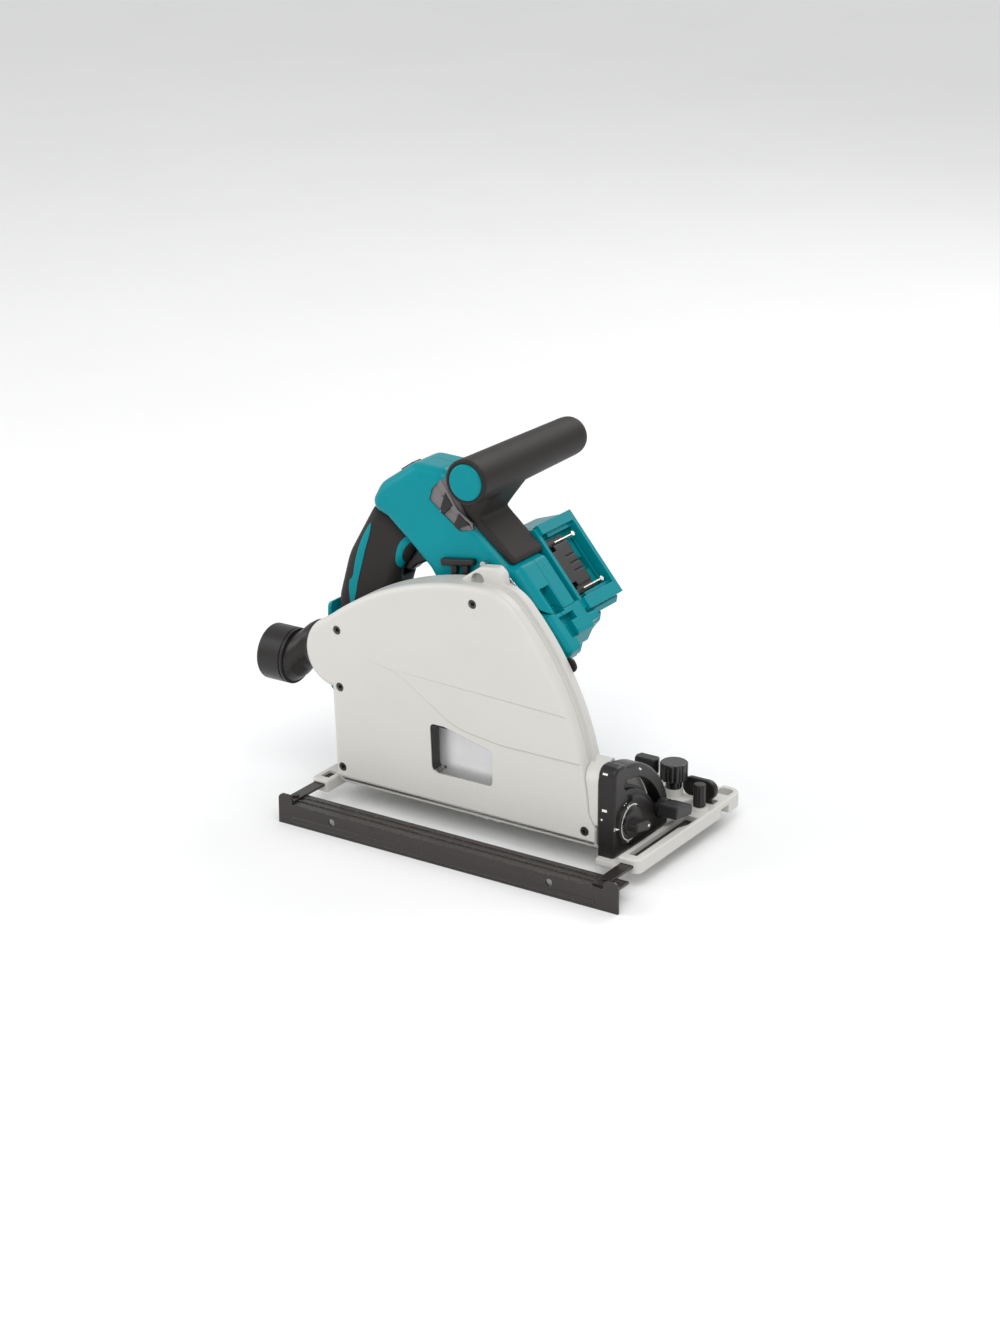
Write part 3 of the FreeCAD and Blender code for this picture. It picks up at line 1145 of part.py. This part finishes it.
NODES = {
    "base_plate": base_plate, "slide_strips": slide_strips, "front_quadrant": front_quadrant,
    "rear_quadrant": rear_quadrant, "quadrant_screws": quadrant_screws, "bevel_dial": bevel_dial,
    "bevel_range_knob": range_knob, "rail_adjust_knob_front": lambda: adjust_knob(ADJUST_FRONT),
    "rail_adjust_knob_rear": lambda: adjust_knob(ADJUST_REAR),
    "fence_clamp_front": lambda: fence_clamp(POST_FRONT, FRONT_BAR_TOP + 3),
    "fence_clamp_rear": lambda: fence_clamp(POST_REAR, REAR_BAR_TOP + 3),
    "tip_lock_lever": tip_lock_lever, "fence_rule": fence_rule, "fence_arms": fence_arms,
    "fence_screws": fence_screws, "blade_case": blade_case, "case_cover": case_cover,
    "cover_screws": cover_screws, "depth_scale": depth_scale, "pivot_shaft": pivot_shaft,
    "plunge_spring": plunge_spring, "bevel_clamp_front": bevel_clamp_front,
    "bevel_clamp_rear": bevel_clamp_rear, "depth_stop": depth_stop,
    "depth_stop_knob": depth_stop_knob, "dust_elbow": dust_elbow, "dust_cuff": dust_cuff,
    "saw_blade": saw_blade, "blade_flanges": blade_flanges, "blade_bolt": blade_bolt,
    "spindle": spindle, "driven_gear": driven_gear, "idler_gear": idler_gear,
    "rotor_shaft": rotor_shaft, "rotor_core": rotor_core, "cooling_fan": cooling_fan,
    "gear_housing": gear_housing, "motor_shell": motor_shell, "motor_end_cap": motor_end_cap,
    "stator": stator, "ball_bearings": ball_bearings,
    "battery_carrier_front": battery_carrier_front, "terminal_blocks": terminal_blocks,
    "battery_contacts": battery_contacts, "battery_carrier_rear": battery_carrier_rear,
    "depth_stop_pin": depth_stop_pin, "trigger_switch": trigger_switch,
    "housing_screws": housing_screws, "shaft_lock_button": shaft_lock_button,
    "handle_right": handle_right, "handle_left": handle_left, "handle_grip": handle_grip,
    "front_handle": front_handle, "front_handle_cap": front_handle_cap,
    "control_panel": control_panel, "controller_board": controller_board, "trigger": trigger,
    "lock_off_button": lock_off_button, "plunge_lever": plunge_lever, "speed_dial": speed_dial,
}

for name, make in NODES.items():
    save(name, make())
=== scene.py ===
"""Looks of the track plunge saw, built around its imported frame. Metres, same frame as the CAD."""
import json
import math
import bmesh
import bpy
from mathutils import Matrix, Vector
from mathutils.bvhtree import BVHTree


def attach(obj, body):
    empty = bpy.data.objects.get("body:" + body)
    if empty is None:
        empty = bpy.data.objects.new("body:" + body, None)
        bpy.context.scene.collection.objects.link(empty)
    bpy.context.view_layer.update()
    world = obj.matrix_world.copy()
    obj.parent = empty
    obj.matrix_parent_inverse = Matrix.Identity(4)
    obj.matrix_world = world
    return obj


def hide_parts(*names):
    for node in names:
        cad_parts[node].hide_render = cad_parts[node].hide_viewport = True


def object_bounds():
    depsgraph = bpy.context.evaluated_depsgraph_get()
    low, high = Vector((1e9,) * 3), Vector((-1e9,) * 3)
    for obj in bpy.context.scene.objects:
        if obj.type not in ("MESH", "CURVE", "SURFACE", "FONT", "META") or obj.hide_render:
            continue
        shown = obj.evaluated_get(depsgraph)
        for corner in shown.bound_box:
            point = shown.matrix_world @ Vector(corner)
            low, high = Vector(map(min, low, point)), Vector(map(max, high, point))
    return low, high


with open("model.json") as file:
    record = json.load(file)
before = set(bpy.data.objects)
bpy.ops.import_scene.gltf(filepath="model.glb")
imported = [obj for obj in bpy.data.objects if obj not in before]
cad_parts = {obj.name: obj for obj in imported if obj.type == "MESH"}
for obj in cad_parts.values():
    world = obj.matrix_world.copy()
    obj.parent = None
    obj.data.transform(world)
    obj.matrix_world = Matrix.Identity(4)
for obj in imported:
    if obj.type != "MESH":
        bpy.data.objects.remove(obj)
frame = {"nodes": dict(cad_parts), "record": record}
CAD_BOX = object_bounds()
NODES = frame["nodes"]
BODIES = frame["record"]["behaviour"]["bodies"]
BODY_OF = {name: body for body, names in BODIES.items() for name in names}
MM = 0.001

# ---- Places taken from the CAD, in mm --------------------------------------
COVER_FACE_Y = -81.0
UNIT_FACE_Y = -45.0
FENCE_FACE_Y = -135.0
DIAL_Y, DIAL_Z = DIAL_AT = (-58.0, 30.0)

# ---- Thin pieces: height over the face and depth into it, in mm --------------
MARK_LIFT, MARK_SINK = 0.12, 0.5
INLAY_LIFT, INLAY_SINK = 0.45, 1.2
BORDER_LIFT, BORDER_SINK = 0.3, 0.8
CAST_FROM = 300                         # rays start this far out, beyond the whole object

# ---- Shading and studio ------------------------------------------------------
BEVEL_SAMPLES = 6
FACE_COSINE, EDGE_COSINE = 0.995, 0.90  # rounded against true normal: where wear starts, where it is full
MAX_SPLITS = 6
FLOOR_HALF = 9                          # metres
SKY_COLOUR, SKY_STRENGTH = (0.99, 0.993, 1.0, 1), 0.72
AZIMUTH, ELEVATION, DISTANCE = math.radians(33.0), math.radians(21.0), 2.61
AIM = (-0.0585, 0.0495, 0.090)
LENS, SENSOR = 81.0, 36.0


# ---- Materials --------------------------------------------------------------
def new_material(name):
    material = bpy.data.materials.new(name)
    material.use_nodes = True
    tree = material.node_tree
    shader = tree.nodes["Principled BSDF"]
    return material, tree, shader


def node(tree, kind, **inputs):
    made = tree.nodes.new(kind)
    for key, value in inputs.items():
        made.inputs[key.replace("_", " ")].default_value = value
    return made


def object_coords(tree, scale):
    """Object coordinates: every piece keeps its place, so the grain is the same size everywhere."""
    coords = tree.nodes.new("ShaderNodeTexCoord")
    mapping = tree.nodes.new("ShaderNodeMapping")
    mapping.inputs["Scale"].default_value = scale
    tree.links.new(coords.outputs["Object"], mapping.inputs["Vector"])
    return mapping.outputs["Vector"]


def noise(tree, vector, scale, detail=4.0, roughness=0.55):
    made = node(tree, "ShaderNodeTexNoise", Scale=scale, Detail=detail, Roughness=roughness)
    tree.links.new(vector, made.inputs["Vector"])
    return made.outputs["Fac"]


def ramp(tree, fac, stops):
    made = tree.nodes.new("ShaderNodeValToRGB")
    elements = made.color_ramp.elements
    while len(elements) < len(stops):
        elements.new(0.5)
    for element, (position, value) in zip(elements, stops):
        element.position = position
        element.color = value if len(value) == 4 else (*value, 1.0)
    tree.links.new(fac, made.inputs["Fac"])
    return made.outputs["Color"]


def remap(tree, fac, low, high, to_low, to_high):
    made = node(tree, "ShaderNodeMapRange")
    for key, value in (("From Min", low), ("From Max", high), ("To Min", to_low), ("To Max", to_high)):
        made.inputs[key].default_value = value
    tree.links.new(fac, made.inputs["Value"])
    return made.outputs["Result"]


def mix_colour(tree, fac, first, second):
    made = tree.nodes.new("ShaderNodeMix")
    made.data_type = "RGBA"
    for value, socket in ((fac, made.inputs[0]), (first, made.inputs[6]), (second, made.inputs[7])):
        if hasattr(value, "is_output"):
            tree.links.new(value, socket)
        else:
            socket.default_value = value
    return made.outputs[2]


def soft_normal(tree, radius):
    """Rounds the edges in the shading, as a mould or a coat of paint does."""
    made = tree.nodes.new("ShaderNodeBevel")
    made.samples = BEVEL_SAMPLES
    made.inputs["Radius"].default_value = radius
    return made.outputs["Normal"]


def edge_mask(tree, radius):
    """1 along the edges, 0 on the faces."""
    rounded = soft_normal(tree, radius)
    geometry = tree.nodes.new("ShaderNodeNewGeometry")
    dot = tree.nodes.new("ShaderNodeVectorMath")
    dot.operation = "DOT_PRODUCT"
    tree.links.new(rounded, dot.inputs[0])
    tree.links.new(geometry.outputs["Normal"], dot.inputs[1])
    return remap(tree, dot.outputs["Value"], FACE_COSINE, EDGE_COSINE, 0.0, 1.0)


def bump(tree, height, strength, distance, normal=None):
    made = node(tree, "ShaderNodeBump", Strength=strength, Distance=distance)
    tree.links.new(height, made.inputs["Height"])
    if normal is not None:
        tree.links.new(normal, made.inputs["Normal"])
    return made.outputs["Normal"]


def plastic(name, colour, roughness, grain, depth, edge=0.0007, wear=0.15, coat=0.0, tone=0.06, gloss=0.22):
    """Moulded plastic: fine spark-eroded grain, slow tone changes, paler handled edges."""
    material, tree, shader = new_material(name)
    vector = object_coords(tree, (1, 1, 1))
    slow = noise(tree, vector, 9.0, 3.0)
    fine = noise(tree, vector, grain, 2.0)
    base = (*colour, 1.0)
    dark = tuple(c * (1 - tone) for c in colour) + (1.0,)
    light = tuple(min(c * (1 + 2 * tone), 1.0) for c in colour) + (1.0,)
    toned = ramp(tree, slow, [(0.35, dark), (0.5, base), (0.68, light)])
    pale = tuple(min(c * 1.5 + 0.02, 1.0) for c in colour) + (1.0,)
    broken = noise(tree, vector, 260.0, 3.0)
    mask = edge_mask(tree, edge)
    worn = tree.nodes.new("ShaderNodeMath")
    worn.operation = "MULTIPLY"
    tree.links.new(mask, worn.inputs[0])
    tree.links.new(remap(tree, broken, 0.42, 0.62, 0.0, wear), worn.inputs[1])
    tree.links.new(mix_colour(tree, worn.outputs[0], toned, pale), shader.inputs["Base Color"])
    sheen = remap(tree, slow, 0.3, 0.7, roughness - 0.05, roughness + 0.06)
    tree.links.new(sheen, shader.inputs["Roughness"])
    tree.links.new(bump(tree, fine, 0.35, depth, soft_normal(tree, edge)), shader.inputs["Normal"])
    shader.inputs["Specular IOR Level"].default_value = gloss
    shader.inputs["Coat Weight"].default_value = coat
    shader.inputs["Coat Roughness"].default_value = 0.25
    return material


def painted(name, colour, roughness, wear=0.25):
    """Powder coat over a casting: orange peel, slight dust tone, coat thinned on edges."""
    peel = 0.00004
    edge = 0.0008
    material, tree, shader = new_material(name)
    vector = object_coords(tree, (1, 1, 1))
    slow = noise(tree, vector, 6.0, 4.0)
    peel_noise = noise(tree, vector, 900.0, 2.0)
    speck = noise(tree, vector, 420.0, 4.0, 0.7)
    base = (*colour, 1.0)
    dark = tuple(c * 0.965 for c in colour) + (1.0,)
    light = tuple(min(c * 1.02, 1.0) for c in colour) + (1.0,)
    toned = ramp(tree, slow, [(0.3, dark), (0.5, base), (0.7, light)])
    dust = (colour[0] * 0.6, colour[1] * 0.58, colour[2] * 0.55, 1)
    dusty = mix_colour(tree, remap(tree, speck, 0.66, 0.78, 0.0, 0.10), toned, dust)
    mask = edge_mask(tree, edge)
    worn = tree.nodes.new("ShaderNodeMath")
    worn.operation = "MULTIPLY"
    tree.links.new(mask, worn.inputs[0])
    tree.links.new(remap(tree, speck, 0.50, 0.64, 0.0, wear), worn.inputs[1])
    bared = (0.45, 0.45, 0.45, 1)
    tree.links.new(mix_colour(tree, worn.outputs[0], dusty, bared), shader.inputs["Base Color"])
    sheen = remap(tree, slow, 0.3, 0.7, roughness - 0.04, roughness + 0.06)
    tree.links.new(sheen, shader.inputs["Roughness"])
    tree.links.new(bump(tree, peel_noise, 0.30, peel, soft_normal(tree, edge)), shader.inputs["Normal"])
    return material


def metal(name, colour, roughness, stretch, edge=0.0004, tone=0.12, metallic=1.0):
    """Bare metal with a directional grain and a few darker stains."""
    material, tree, shader = new_material(name)
    fine = noise(tree, object_coords(tree, stretch), 700.0, 3.0)
    slow = noise(tree, object_coords(tree, (1, 1, 1)), 40.0, 4.0)
    base = (*colour, 1.0)
    dark = tuple(c * (1 - tone) for c in colour) + (1.0,)
    tree.links.new(ramp(tree, slow, [(0.35, dark), (0.6, base)]), shader.inputs["Base Color"])
    sheen = remap(tree, fine, 0.3, 0.7, roughness - 0.07, roughness + 0.09)
    tree.links.new(sheen, shader.inputs["Roughness"])
    tree.links.new(bump(tree, fine, 0.25, 0.00002, soft_normal(tree, edge)), shader.inputs["Normal"])
    shader.inputs["Metallic"].default_value = metallic
    return material


TEAL = plastic("teal_moulding", (0.0, 0.245, 0.285), 0.27, 1500.0, 0.00002, wear=0.16, tone=0.05, gloss=0.13)
BLACK = plastic("black_moulding", (0.013, 0.0112, 0.0105), 0.33, 1300.0, 0.00003, edge=0.0012, wear=0.25,
                gloss=0.38)
GLOSS = plastic("black_gloss_moulding", (0.012, 0.0112, 0.011), 0.20, 1600.0, 0.00002, wear=0.2, coat=0.35,
                gloss=0.45)
SLATE = plastic("slate_moulding", (0.018, 0.0175, 0.0175), 0.36, 1400.0, 0.00003, edge=0.0010, wear=0.3,
                gloss=0.38)
RUBBER = plastic("grip_rubber", (0.022, 0.019, 0.0175), 0.52, 620.0, 0.00016, edge=0.0012, wear=0.10,
                 tone=0.10)
GREY = plastic("grey_moulding", (0.185, 0.168, 0.174), 0.42, 1300.0, 0.00003, wear=0.2)
STRIP = plastic("strip_foam", (0.05, 0.05, 0.05), 0.8, 500.0, 0.0002)
BOARD = plastic("board_resin", (0.02, 0.09, 0.035), 0.5, 500.0, 0.0001)
CASTING = painted("casting_coat", (0.62, 0.61, 0.577), 0.42)
FENCE = painted("fence_coat", (0.024, 0.019, 0.0175), 0.27, wear=0.35)
STEEL = metal("bright_steel", (0.56, 0.56, 0.57), 0.30, (1, 8, 1))
DARK_STEEL = metal("black_steel", (0.09, 0.088, 0.085), 0.38, (1, 1, 1))
BLADE = metal("ground_steel", (0.80, 0.80, 0.81), 0.36, (1, 1, 14), tone=0.06, metallic=0.6)
ALUMINIUM = metal("die_cast", (0.58, 0.58, 0.59), 0.45, (1, 1, 1))
COPPER = metal("core_and_coils", (0.50, 0.28, 0.16), 0.45, (1, 20, 1))
WHITE = plastic("mark_paint", (0.82, 0.82, 0.80), 0.5, 900.0, 0.00001, edge=0.0001, wear=0.05, tone=0.03)
CONTACT = metal("contact_plate", (0.80, 0.78, 0.70), 0.30, (1, 1, 1))

BY_SLOT = {
    "teal_plastic": TEAL, "black_plastic": BLACK, "rubber_grip": RUBBER, "grey_plastic": GREY,
    "light_casting": CASTING, "fence_steel": FENCE, "steel": STEEL, "dark_steel": DARK_STEEL,
    "blade_steel": BLADE, "aluminium": ALUMINIUM, "laminations": COPPER, "contact_metal": CONTACT,
    "board": BOARD, "slide_strip": STRIP,
}
OWN = {"rail_adjust_knob_front": GLOSS, "rail_adjust_knob_rear": GLOSS, "bevel_range_knob": SLATE,
       "bevel_clamp_front": SLATE, "bevel_clamp_rear": SLATE}


def paint(obj, material):
    obj.data.materials.clear()
    obj.data.materials.append(material)


for part in frame["record"]["subparts"]:
    paint(NODES[part["node"]], OWN.get(part["node"], BY_SLOT[part["material_slot"]]))


# ---- Pieces of the look ---------------------------------------------------------
def add_piece(name, mesh, node_name, material):
    obj = bpy.data.objects.new(name, mesh)
    bpy.context.scene.collection.objects.link(obj)
    paint(obj, material)
    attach(obj, BODY_OF[node_name])
    return obj


def softened(name, node_name, voxel, passes, material):
    """Overmoulded skin: the CAD shape with its joins and edges run together."""
    source = NODES[node_name]
    mesh = source.data.copy()
    mesh.transform(source.matrix_world)
    obj = add_piece(name, mesh, node_name, material)
    skin = obj.modifiers.new("skin", "REMESH")
    skin.mode = "VOXEL"
    skin.voxel_size = voxel * MM
    skin.use_smooth_shade = True
    soft = obj.modifiers.new("soft", "SMOOTH")
    soft.factor = 0.5
    soft.iterations = passes
    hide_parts(node_name)
    return obj


def surface_of(obj):
    """What a thin piece is laid on, modifiers included."""
    shown = obj.evaluated_get(bpy.context.evaluated_depsgraph_get())
    mesh = shown.to_mesh()
    points = [shown.matrix_world @ v.co for v in mesh.vertices]
    faces = [tuple(f.vertices) for f in mesh.polygons]
    shown.to_mesh_clear()
    return BVHTree.FromPolygons(points, faces)


# Which way the rays go, and where an outline point (u, v) starts.
LOOKS = {
    "y": (Vector((0, 1, 0)), lambda u, v: Vector((u, -CAST_FROM, v))),
    "x": (Vector((-1, 0, 0)), lambda u, v: Vector((CAST_FROM, u, v))),
    "-y": (Vector((0, -1, 0)), lambda u, v: Vector((u, CAST_FROM, v))),
}


def rounded_loop(points, steps):
    """Closed curve through the points."""
    loop = []
    count = len(points)
    for i in range(count):
        a, b, c, d = (Vector(points[(i + k) % count]) for k in (-1, 0, 1, 2))
        for j in range(steps):
            t = j / steps
            loop.append(0.5 * ((2 * b) + (c - a) * t + (2 * a - 5 * b + 4 * c - d) * t * t
                               + (3 * b - a - 3 * c + d) * t ** 3))
    return [(p[0], p[1]) for p in loop]


def draped(name, node_name, target, look, outline, lift, sink, material, step=3.0):
    """Thin piece with this outline, in mm, laid on a face as seen along an axis."""
    along, start = LOOKS[look]
    mesh = bmesh.new()
    mesh.faces.new([mesh.verts.new(start(u, v)) for u, v in outline])
    bmesh.ops.triangulate(mesh, faces=mesh.faces[:])
    for _ in range(MAX_SPLITS):
        long = [e for e in mesh.edges if e.calc_length() > step]
        if not long:
            break
        bmesh.ops.subdivide_edges(mesh, edges=long, cuts=1)
        bmesh.ops.triangulate(mesh, faces=mesh.faces[:])
    missed = []
    for vert in mesh.verts:
        hit = target.ray_cast(vert.co * MM, along)[0]
        if hit is None:
            missed.append(vert)
        else:
            vert.co = hit - along * lift * MM
    bmesh.ops.delete(mesh, geom=missed, context="VERTS")
    made = bmesh.ops.extrude_face_region(mesh, geom=mesh.faces[:])
    for item in made["geom"]:
        if isinstance(item, bmesh.types.BMVert):
            item.co += along * (lift + sink) * MM
    bmesh.ops.recalc_face_normals(mesh, faces=mesh.faces[:])
    data = bpy.data.meshes.new(name)
    mesh.to_mesh(data)
    mesh.free()
    return add_piece(name, data, node_name, material)


def arc_band(centre, radius, half, first, last):
    outer, inner = [], []
    steps = 24
    for i in range(steps + 1):
        angle = math.radians(first + (last - first) * i / steps)
        c, s = math.cos(angle), math.sin(angle)
        outer.append((centre[0] + (radius + half) * c, centre[1] + (radius + half) * s))
        inner.append((centre[0] + (radius - half) * c, centre[1] + (radius - half) * s))
    return outer + inner[::-1]


def bar(x, y, length, width, degrees=0.0):
    """Four corners of a short mark."""
    c, s = math.cos(math.radians(degrees)), math.sin(math.radians(degrees))
    half, rise = length / 2, width / 2
    corners = [(-half, -rise), (half, -rise), (half, rise), (-half, rise)]
    return [(x + c * a - s * b, y + s * a + c * b) for a, b in corners]


GRIP_SKIN = softened("grip_skin", "handle_grip", 1.5, 10, RUBBER)
softened("cross_handle_skin", "front_handle", 1.3, 14, RUBBER)

# Teal inlays of the rear grip: a long tail at the back, a hook round the trigger.
TAIL = [(-133, 232), (-142, 218), (-149, 198), (-152.5, 181), (-156, 176), (-156.5, 165), (-154, 152),
        (-149.5, 165), (-147.5, 176), (-142.5, 194), (-139, 207), (-134.5, 221)]
HOOK = [(-92, 231), (-103, 220), (-107.5, 208), (-107.5, 199), (-103, 193), (-101, 197), (-102, 206),
        (-98, 216.5), (-88, 227)]
grip_surface = surface_of(GRIP_SKIN)
for side, look in (("near", "y"), ("far", "-y")):
    for label, loop in (("tail", TAIL), ("hook", HOOK)):
        draped("grip_inlay_%s_%s" % (label, side), "handle_grip", grip_surface, look,
               rounded_loop(loop, 4), INLAY_LIFT, INLAY_SINK, TEAL, 2.5)


def lofted(name, sections, node_name, material):
    """Closed solid through sections with the same number of points, in mm; the ends are closed flat."""
    mesh = bmesh.new()
    rows = [[mesh.verts.new(Vector(point) * MM) for point in section] for section in sections]
    count = len(rows[0])
    for first, second in zip(rows, rows[1:]):
        for i in range(count):
            j = (i + 1) % count
            mesh.faces.new((first[i], first[j], second[j], second[i])).smooth = True
    mesh.faces.new(rows[0][::-1])
    mesh.faces.new(rows[-1])
    bmesh.ops.recalc_face_normals(mesh, faces=mesh.faces[:])
    data = bpy.data.meshes.new(name)
    mesh.to_mesh(data)
    mesh.free()
    return add_piece(name, data, node_name, material)


# Dark ribs of the control panel: wedges, high along the front edge, running down into the panel.
for i, loop in enumerate(([(-50.5, 276.5), (-42.5, 265.5), (-52.5, 256.0), (-56.0, 260.0)],
                          [(-37.0, 260.5), (-26.5, 252.0), (-39.0, 245.5), (-42.8, 248.5)])):
    foot = [(x, UNIT_FACE_Y + 1.7, z) for x, z in loop]
    middle = (sum(x for x, z in loop) / len(loop), sum(z for x, z in loop) / len(loop))
    crest = [(x + (middle[0] - x) * 0.12, UNIT_FACE_Y - 1.1, z + (middle[1] - z) * 0.12) for x, z in loop]
    lofted("panel_rib_%d" % (i + 1), [foot, crest], "control_panel", BLACK)


# Grey border that carries the panel over the front edge of the handle.
draped("panel_border", "control_panel", surface_of(NODES["handle_right"]), "y",
       [(-57.3, 282.6), (-51.8, 287.0), (-34.6, 259.0), (-22.6, 249.6), (-22.5, 246.6), (-27.8, 252.0),
        (-43.2, 261.4)],
       BORDER_LIFT, BORDER_SINK, GREY, 2.0)
RIM = [(-58.2, 281.0), (-55.2, 285.6), (-38.9, 262.6), (-24.2, 253.0), (-23.4, 247.6), (-26.4, 252.6),
       (-43.6, 260.8)]
RIM_FOOT, RIM_TOP = UNIT_FACE_Y + 1.5, UNIT_FACE_Y - 0.35
lofted("panel_rim", [[(x, y, z) for x, z in RIM] for y in (RIM_FOOT, RIM_TOP)], "control_panel", GREY)


def fence_bead():
    """Swage pressed along the fence face: a low round rib, tapering out at both ends."""
    sections = []
    for x, size in ((-151, 0.15), (-147, 0.8), (-142, 1.0), (140, 1.0), (145, 0.8), (149, 0.15)):
        turn = [math.pi * k / 10 for k in range(11)]
        rib = [(x, FENCE_FACE_Y + 0.4 - 1.3 * size * math.sin(a), -8.6 + 2.9 * math.cos(a)) for a in turn]
        sections.append(rib + [(x, FENCE_FACE_Y + 0.6, -11.5), (x, FENCE_FACE_Y + 0.6, -5.7)])
    return lofted("fence_bead", sections, "fence_rule", FENCE)


fence_bead()

# White marks: the ring and ticks of the stop dial, the pointers of the quadrant.
quadrant_surface = surface_of(NODES["front_quadrant"])
MARKS = [("dial_ring", "x", arc_band(DIAL_AT, 15.2, 0.45, 55, 300)),
         ("dial_tick_a", "x", bar(DIAL_Y - 6.5, DIAL_Z + 15.8, 2.4, 0.8, 112)),
         ("dial_tick_b", "x", bar(DIAL_Y - 4.0, DIAL_Z + 16.6, 2.4, 0.8, 104)),
         ("dial_tick_c", "x", bar(DIAL_Y - 6.5, DIAL_Z - 15.8, 2.4, 0.8, 68)),
         ("dial_tick_d", "x", bar(DIAL_Y - 4.0, DIAL_Z - 16.6, 2.4, 0.8, 76)),
         ("quadrant_pointer", "x", [(-79, 28.0), (-79, 31.6), (-75.6, 29.8)]),
         ("quadrant_mark_arc", "x", bar(-40.0, 70.0, 4.4, 1.4, -35)),
         ("quadrant_mark_top", "y", bar(126.5, 77.0, 4.6, 1.5)),
         ("quadrant_mark_mid", "y", bar(126.5, 45.0, 4.6, 2.2)),
         ("quadrant_mark_low", "y", bar(124.0, 36.5, 1.6, 1.6))]
for label, look, loop in MARKS:
    draped(label, "front_quadrant", quadrant_surface, look, loop, MARK_LIFT, MARK_SINK, WHITE,
           2.0)
draped("dial_index", "bevel_dial", surface_of(NODES["bevel_dial"]), "x", bar(-50.5, 27.2, 2.6, 2.0, -20),
       MARK_LIFT, MARK_SINK, WHITE, 2.0)


def window_painted_shade():
    """Painted shade: a black wall behind the rear edge of the blade window, standing in for the shade inside
    the case, out of the way of the blade clamp.
    """
    path = [(-15, 83.0), (-36, 83.4), (-42.2, 82.6), (-43.4, 80.0), (-41.9, 46.0), (-40.4, 42.6)]
    mesh = bmesh.new()
    rows = []
    for y, inset in ((COVER_FACE_Y + 0.9, 0.0), (-69.8, 0.0), (-69.8, 0.9), (COVER_FACE_Y + 0.9, 0.9)):
        row = []
        for x, z in path:
            pull = Vector((-14 - x, 0, 62 - z)).normalized() * inset
            row.append(mesh.verts.new(Vector((x + pull.x, y, z + pull.z)) * MM))
        rows.append(row)
    count = len(path)
    for k in range(4):
        a, b = rows[k], rows[(k + 1) % 4]
        for i in range(count - 1):
            mesh.faces.new((a[i], a[i + 1], b[i + 1], b[i]))
    for i in (0, count - 1):
        mesh.faces.new([row[i] for row in rows])
    bmesh.ops.recalc_face_normals(mesh, faces=mesh.faces[:])
    data = bpy.data.meshes.new("window_painted_shade")
    mesh.to_mesh(data)
    mesh.free()
    return add_piece("window_painted_shade", data, "case_cover", BLACK)


# Painted shade in the blade window: a black sheet where the inside of the case lies in shade.
window_painted_shade()


# ---- Stage, lights, camera ----------------------------------------------------
def make_stage():
    floor_material, tree, shader = new_material("paper")
    vector = object_coords(tree, (1, 1, 1))
    tones = [(0.3, (0.905, 0.905, 0.905)), (0.7, (0.925, 0.925, 0.925))]
    tree.links.new(ramp(tree, noise(tree, vector, 3.0), tones), shader.inputs["Base Color"])
    shader.inputs["Roughness"].default_value = 0.9
    mesh = bpy.data.meshes.new("floor")
    z = CAD_BOX[0][2]
    corners = [(-FLOOR_HALF, -FLOOR_HALF, z), (FLOOR_HALF, -FLOOR_HALF, z), (FLOOR_HALF, FLOOR_HALF, z),
               (-FLOOR_HALF, FLOOR_HALF, z)]
    mesh.from_pydata(corners, [], [(0, 1, 2, 3)])
    floor = bpy.data.objects.new("floor", mesh)
    bpy.context.scene.collection.objects.link(floor)
    paint(floor, floor_material)
    world = bpy.data.worlds.new("studio")
    world.use_nodes = True
    world.node_tree.nodes["Background"].inputs["Color"].default_value = SKY_COLOUR
    world.node_tree.nodes["Background"].inputs["Strength"].default_value = SKY_STRENGTH
    bpy.context.scene.world = world


def area_light(name, at, target, size, power):
    data = bpy.data.lights.new(name, "AREA")
    data.shape = "RECTANGLE"
    data.size, data.size_y = size
    data.energy = power
    light = bpy.data.objects.new(name, data)
    light.location = at
    light.rotation_euler = (Vector(target) - Vector(at)).to_track_quat("-Z", "Y").to_euler()
    bpy.context.scene.collection.objects.link(light)


def make_camera():
    back = Vector((math.sin(AZIMUTH) * math.cos(ELEVATION), -math.cos(AZIMUTH) * math.cos(ELEVATION),
                   math.sin(ELEVATION)))
    data = bpy.data.cameras.new("camera")
    data.lens = LENS
    data.sensor_width = SENSOR
    data.clip_end = 60.0
    camera = bpy.data.objects.new("camera", data)
    camera.location = Vector(AIM) + back * DISTANCE
    camera.rotation_euler = (-back).to_track_quat("-Z", "Y").to_euler()
    bpy.context.scene.collection.objects.link(camera)
    bpy.context.scene.camera = camera


make_stage()
# Name, place and target in metres, size in metres, power in watts.
area_light("key", (0.9, -1.5, 2.3), (0, 0, 0.1), (1.6, 1.6), 30)
area_light("left", (-1.9, -1.1, 1.1), (0, 0, 0.12), (1.2, 1.8), 13)
area_light("rim", (0.2, 1.9, 1.7), (0, 0, 0.15), (1.8, 1.0), 15)
make_camera()
bpy.context.scene.view_settings.view_transform = "Standard"
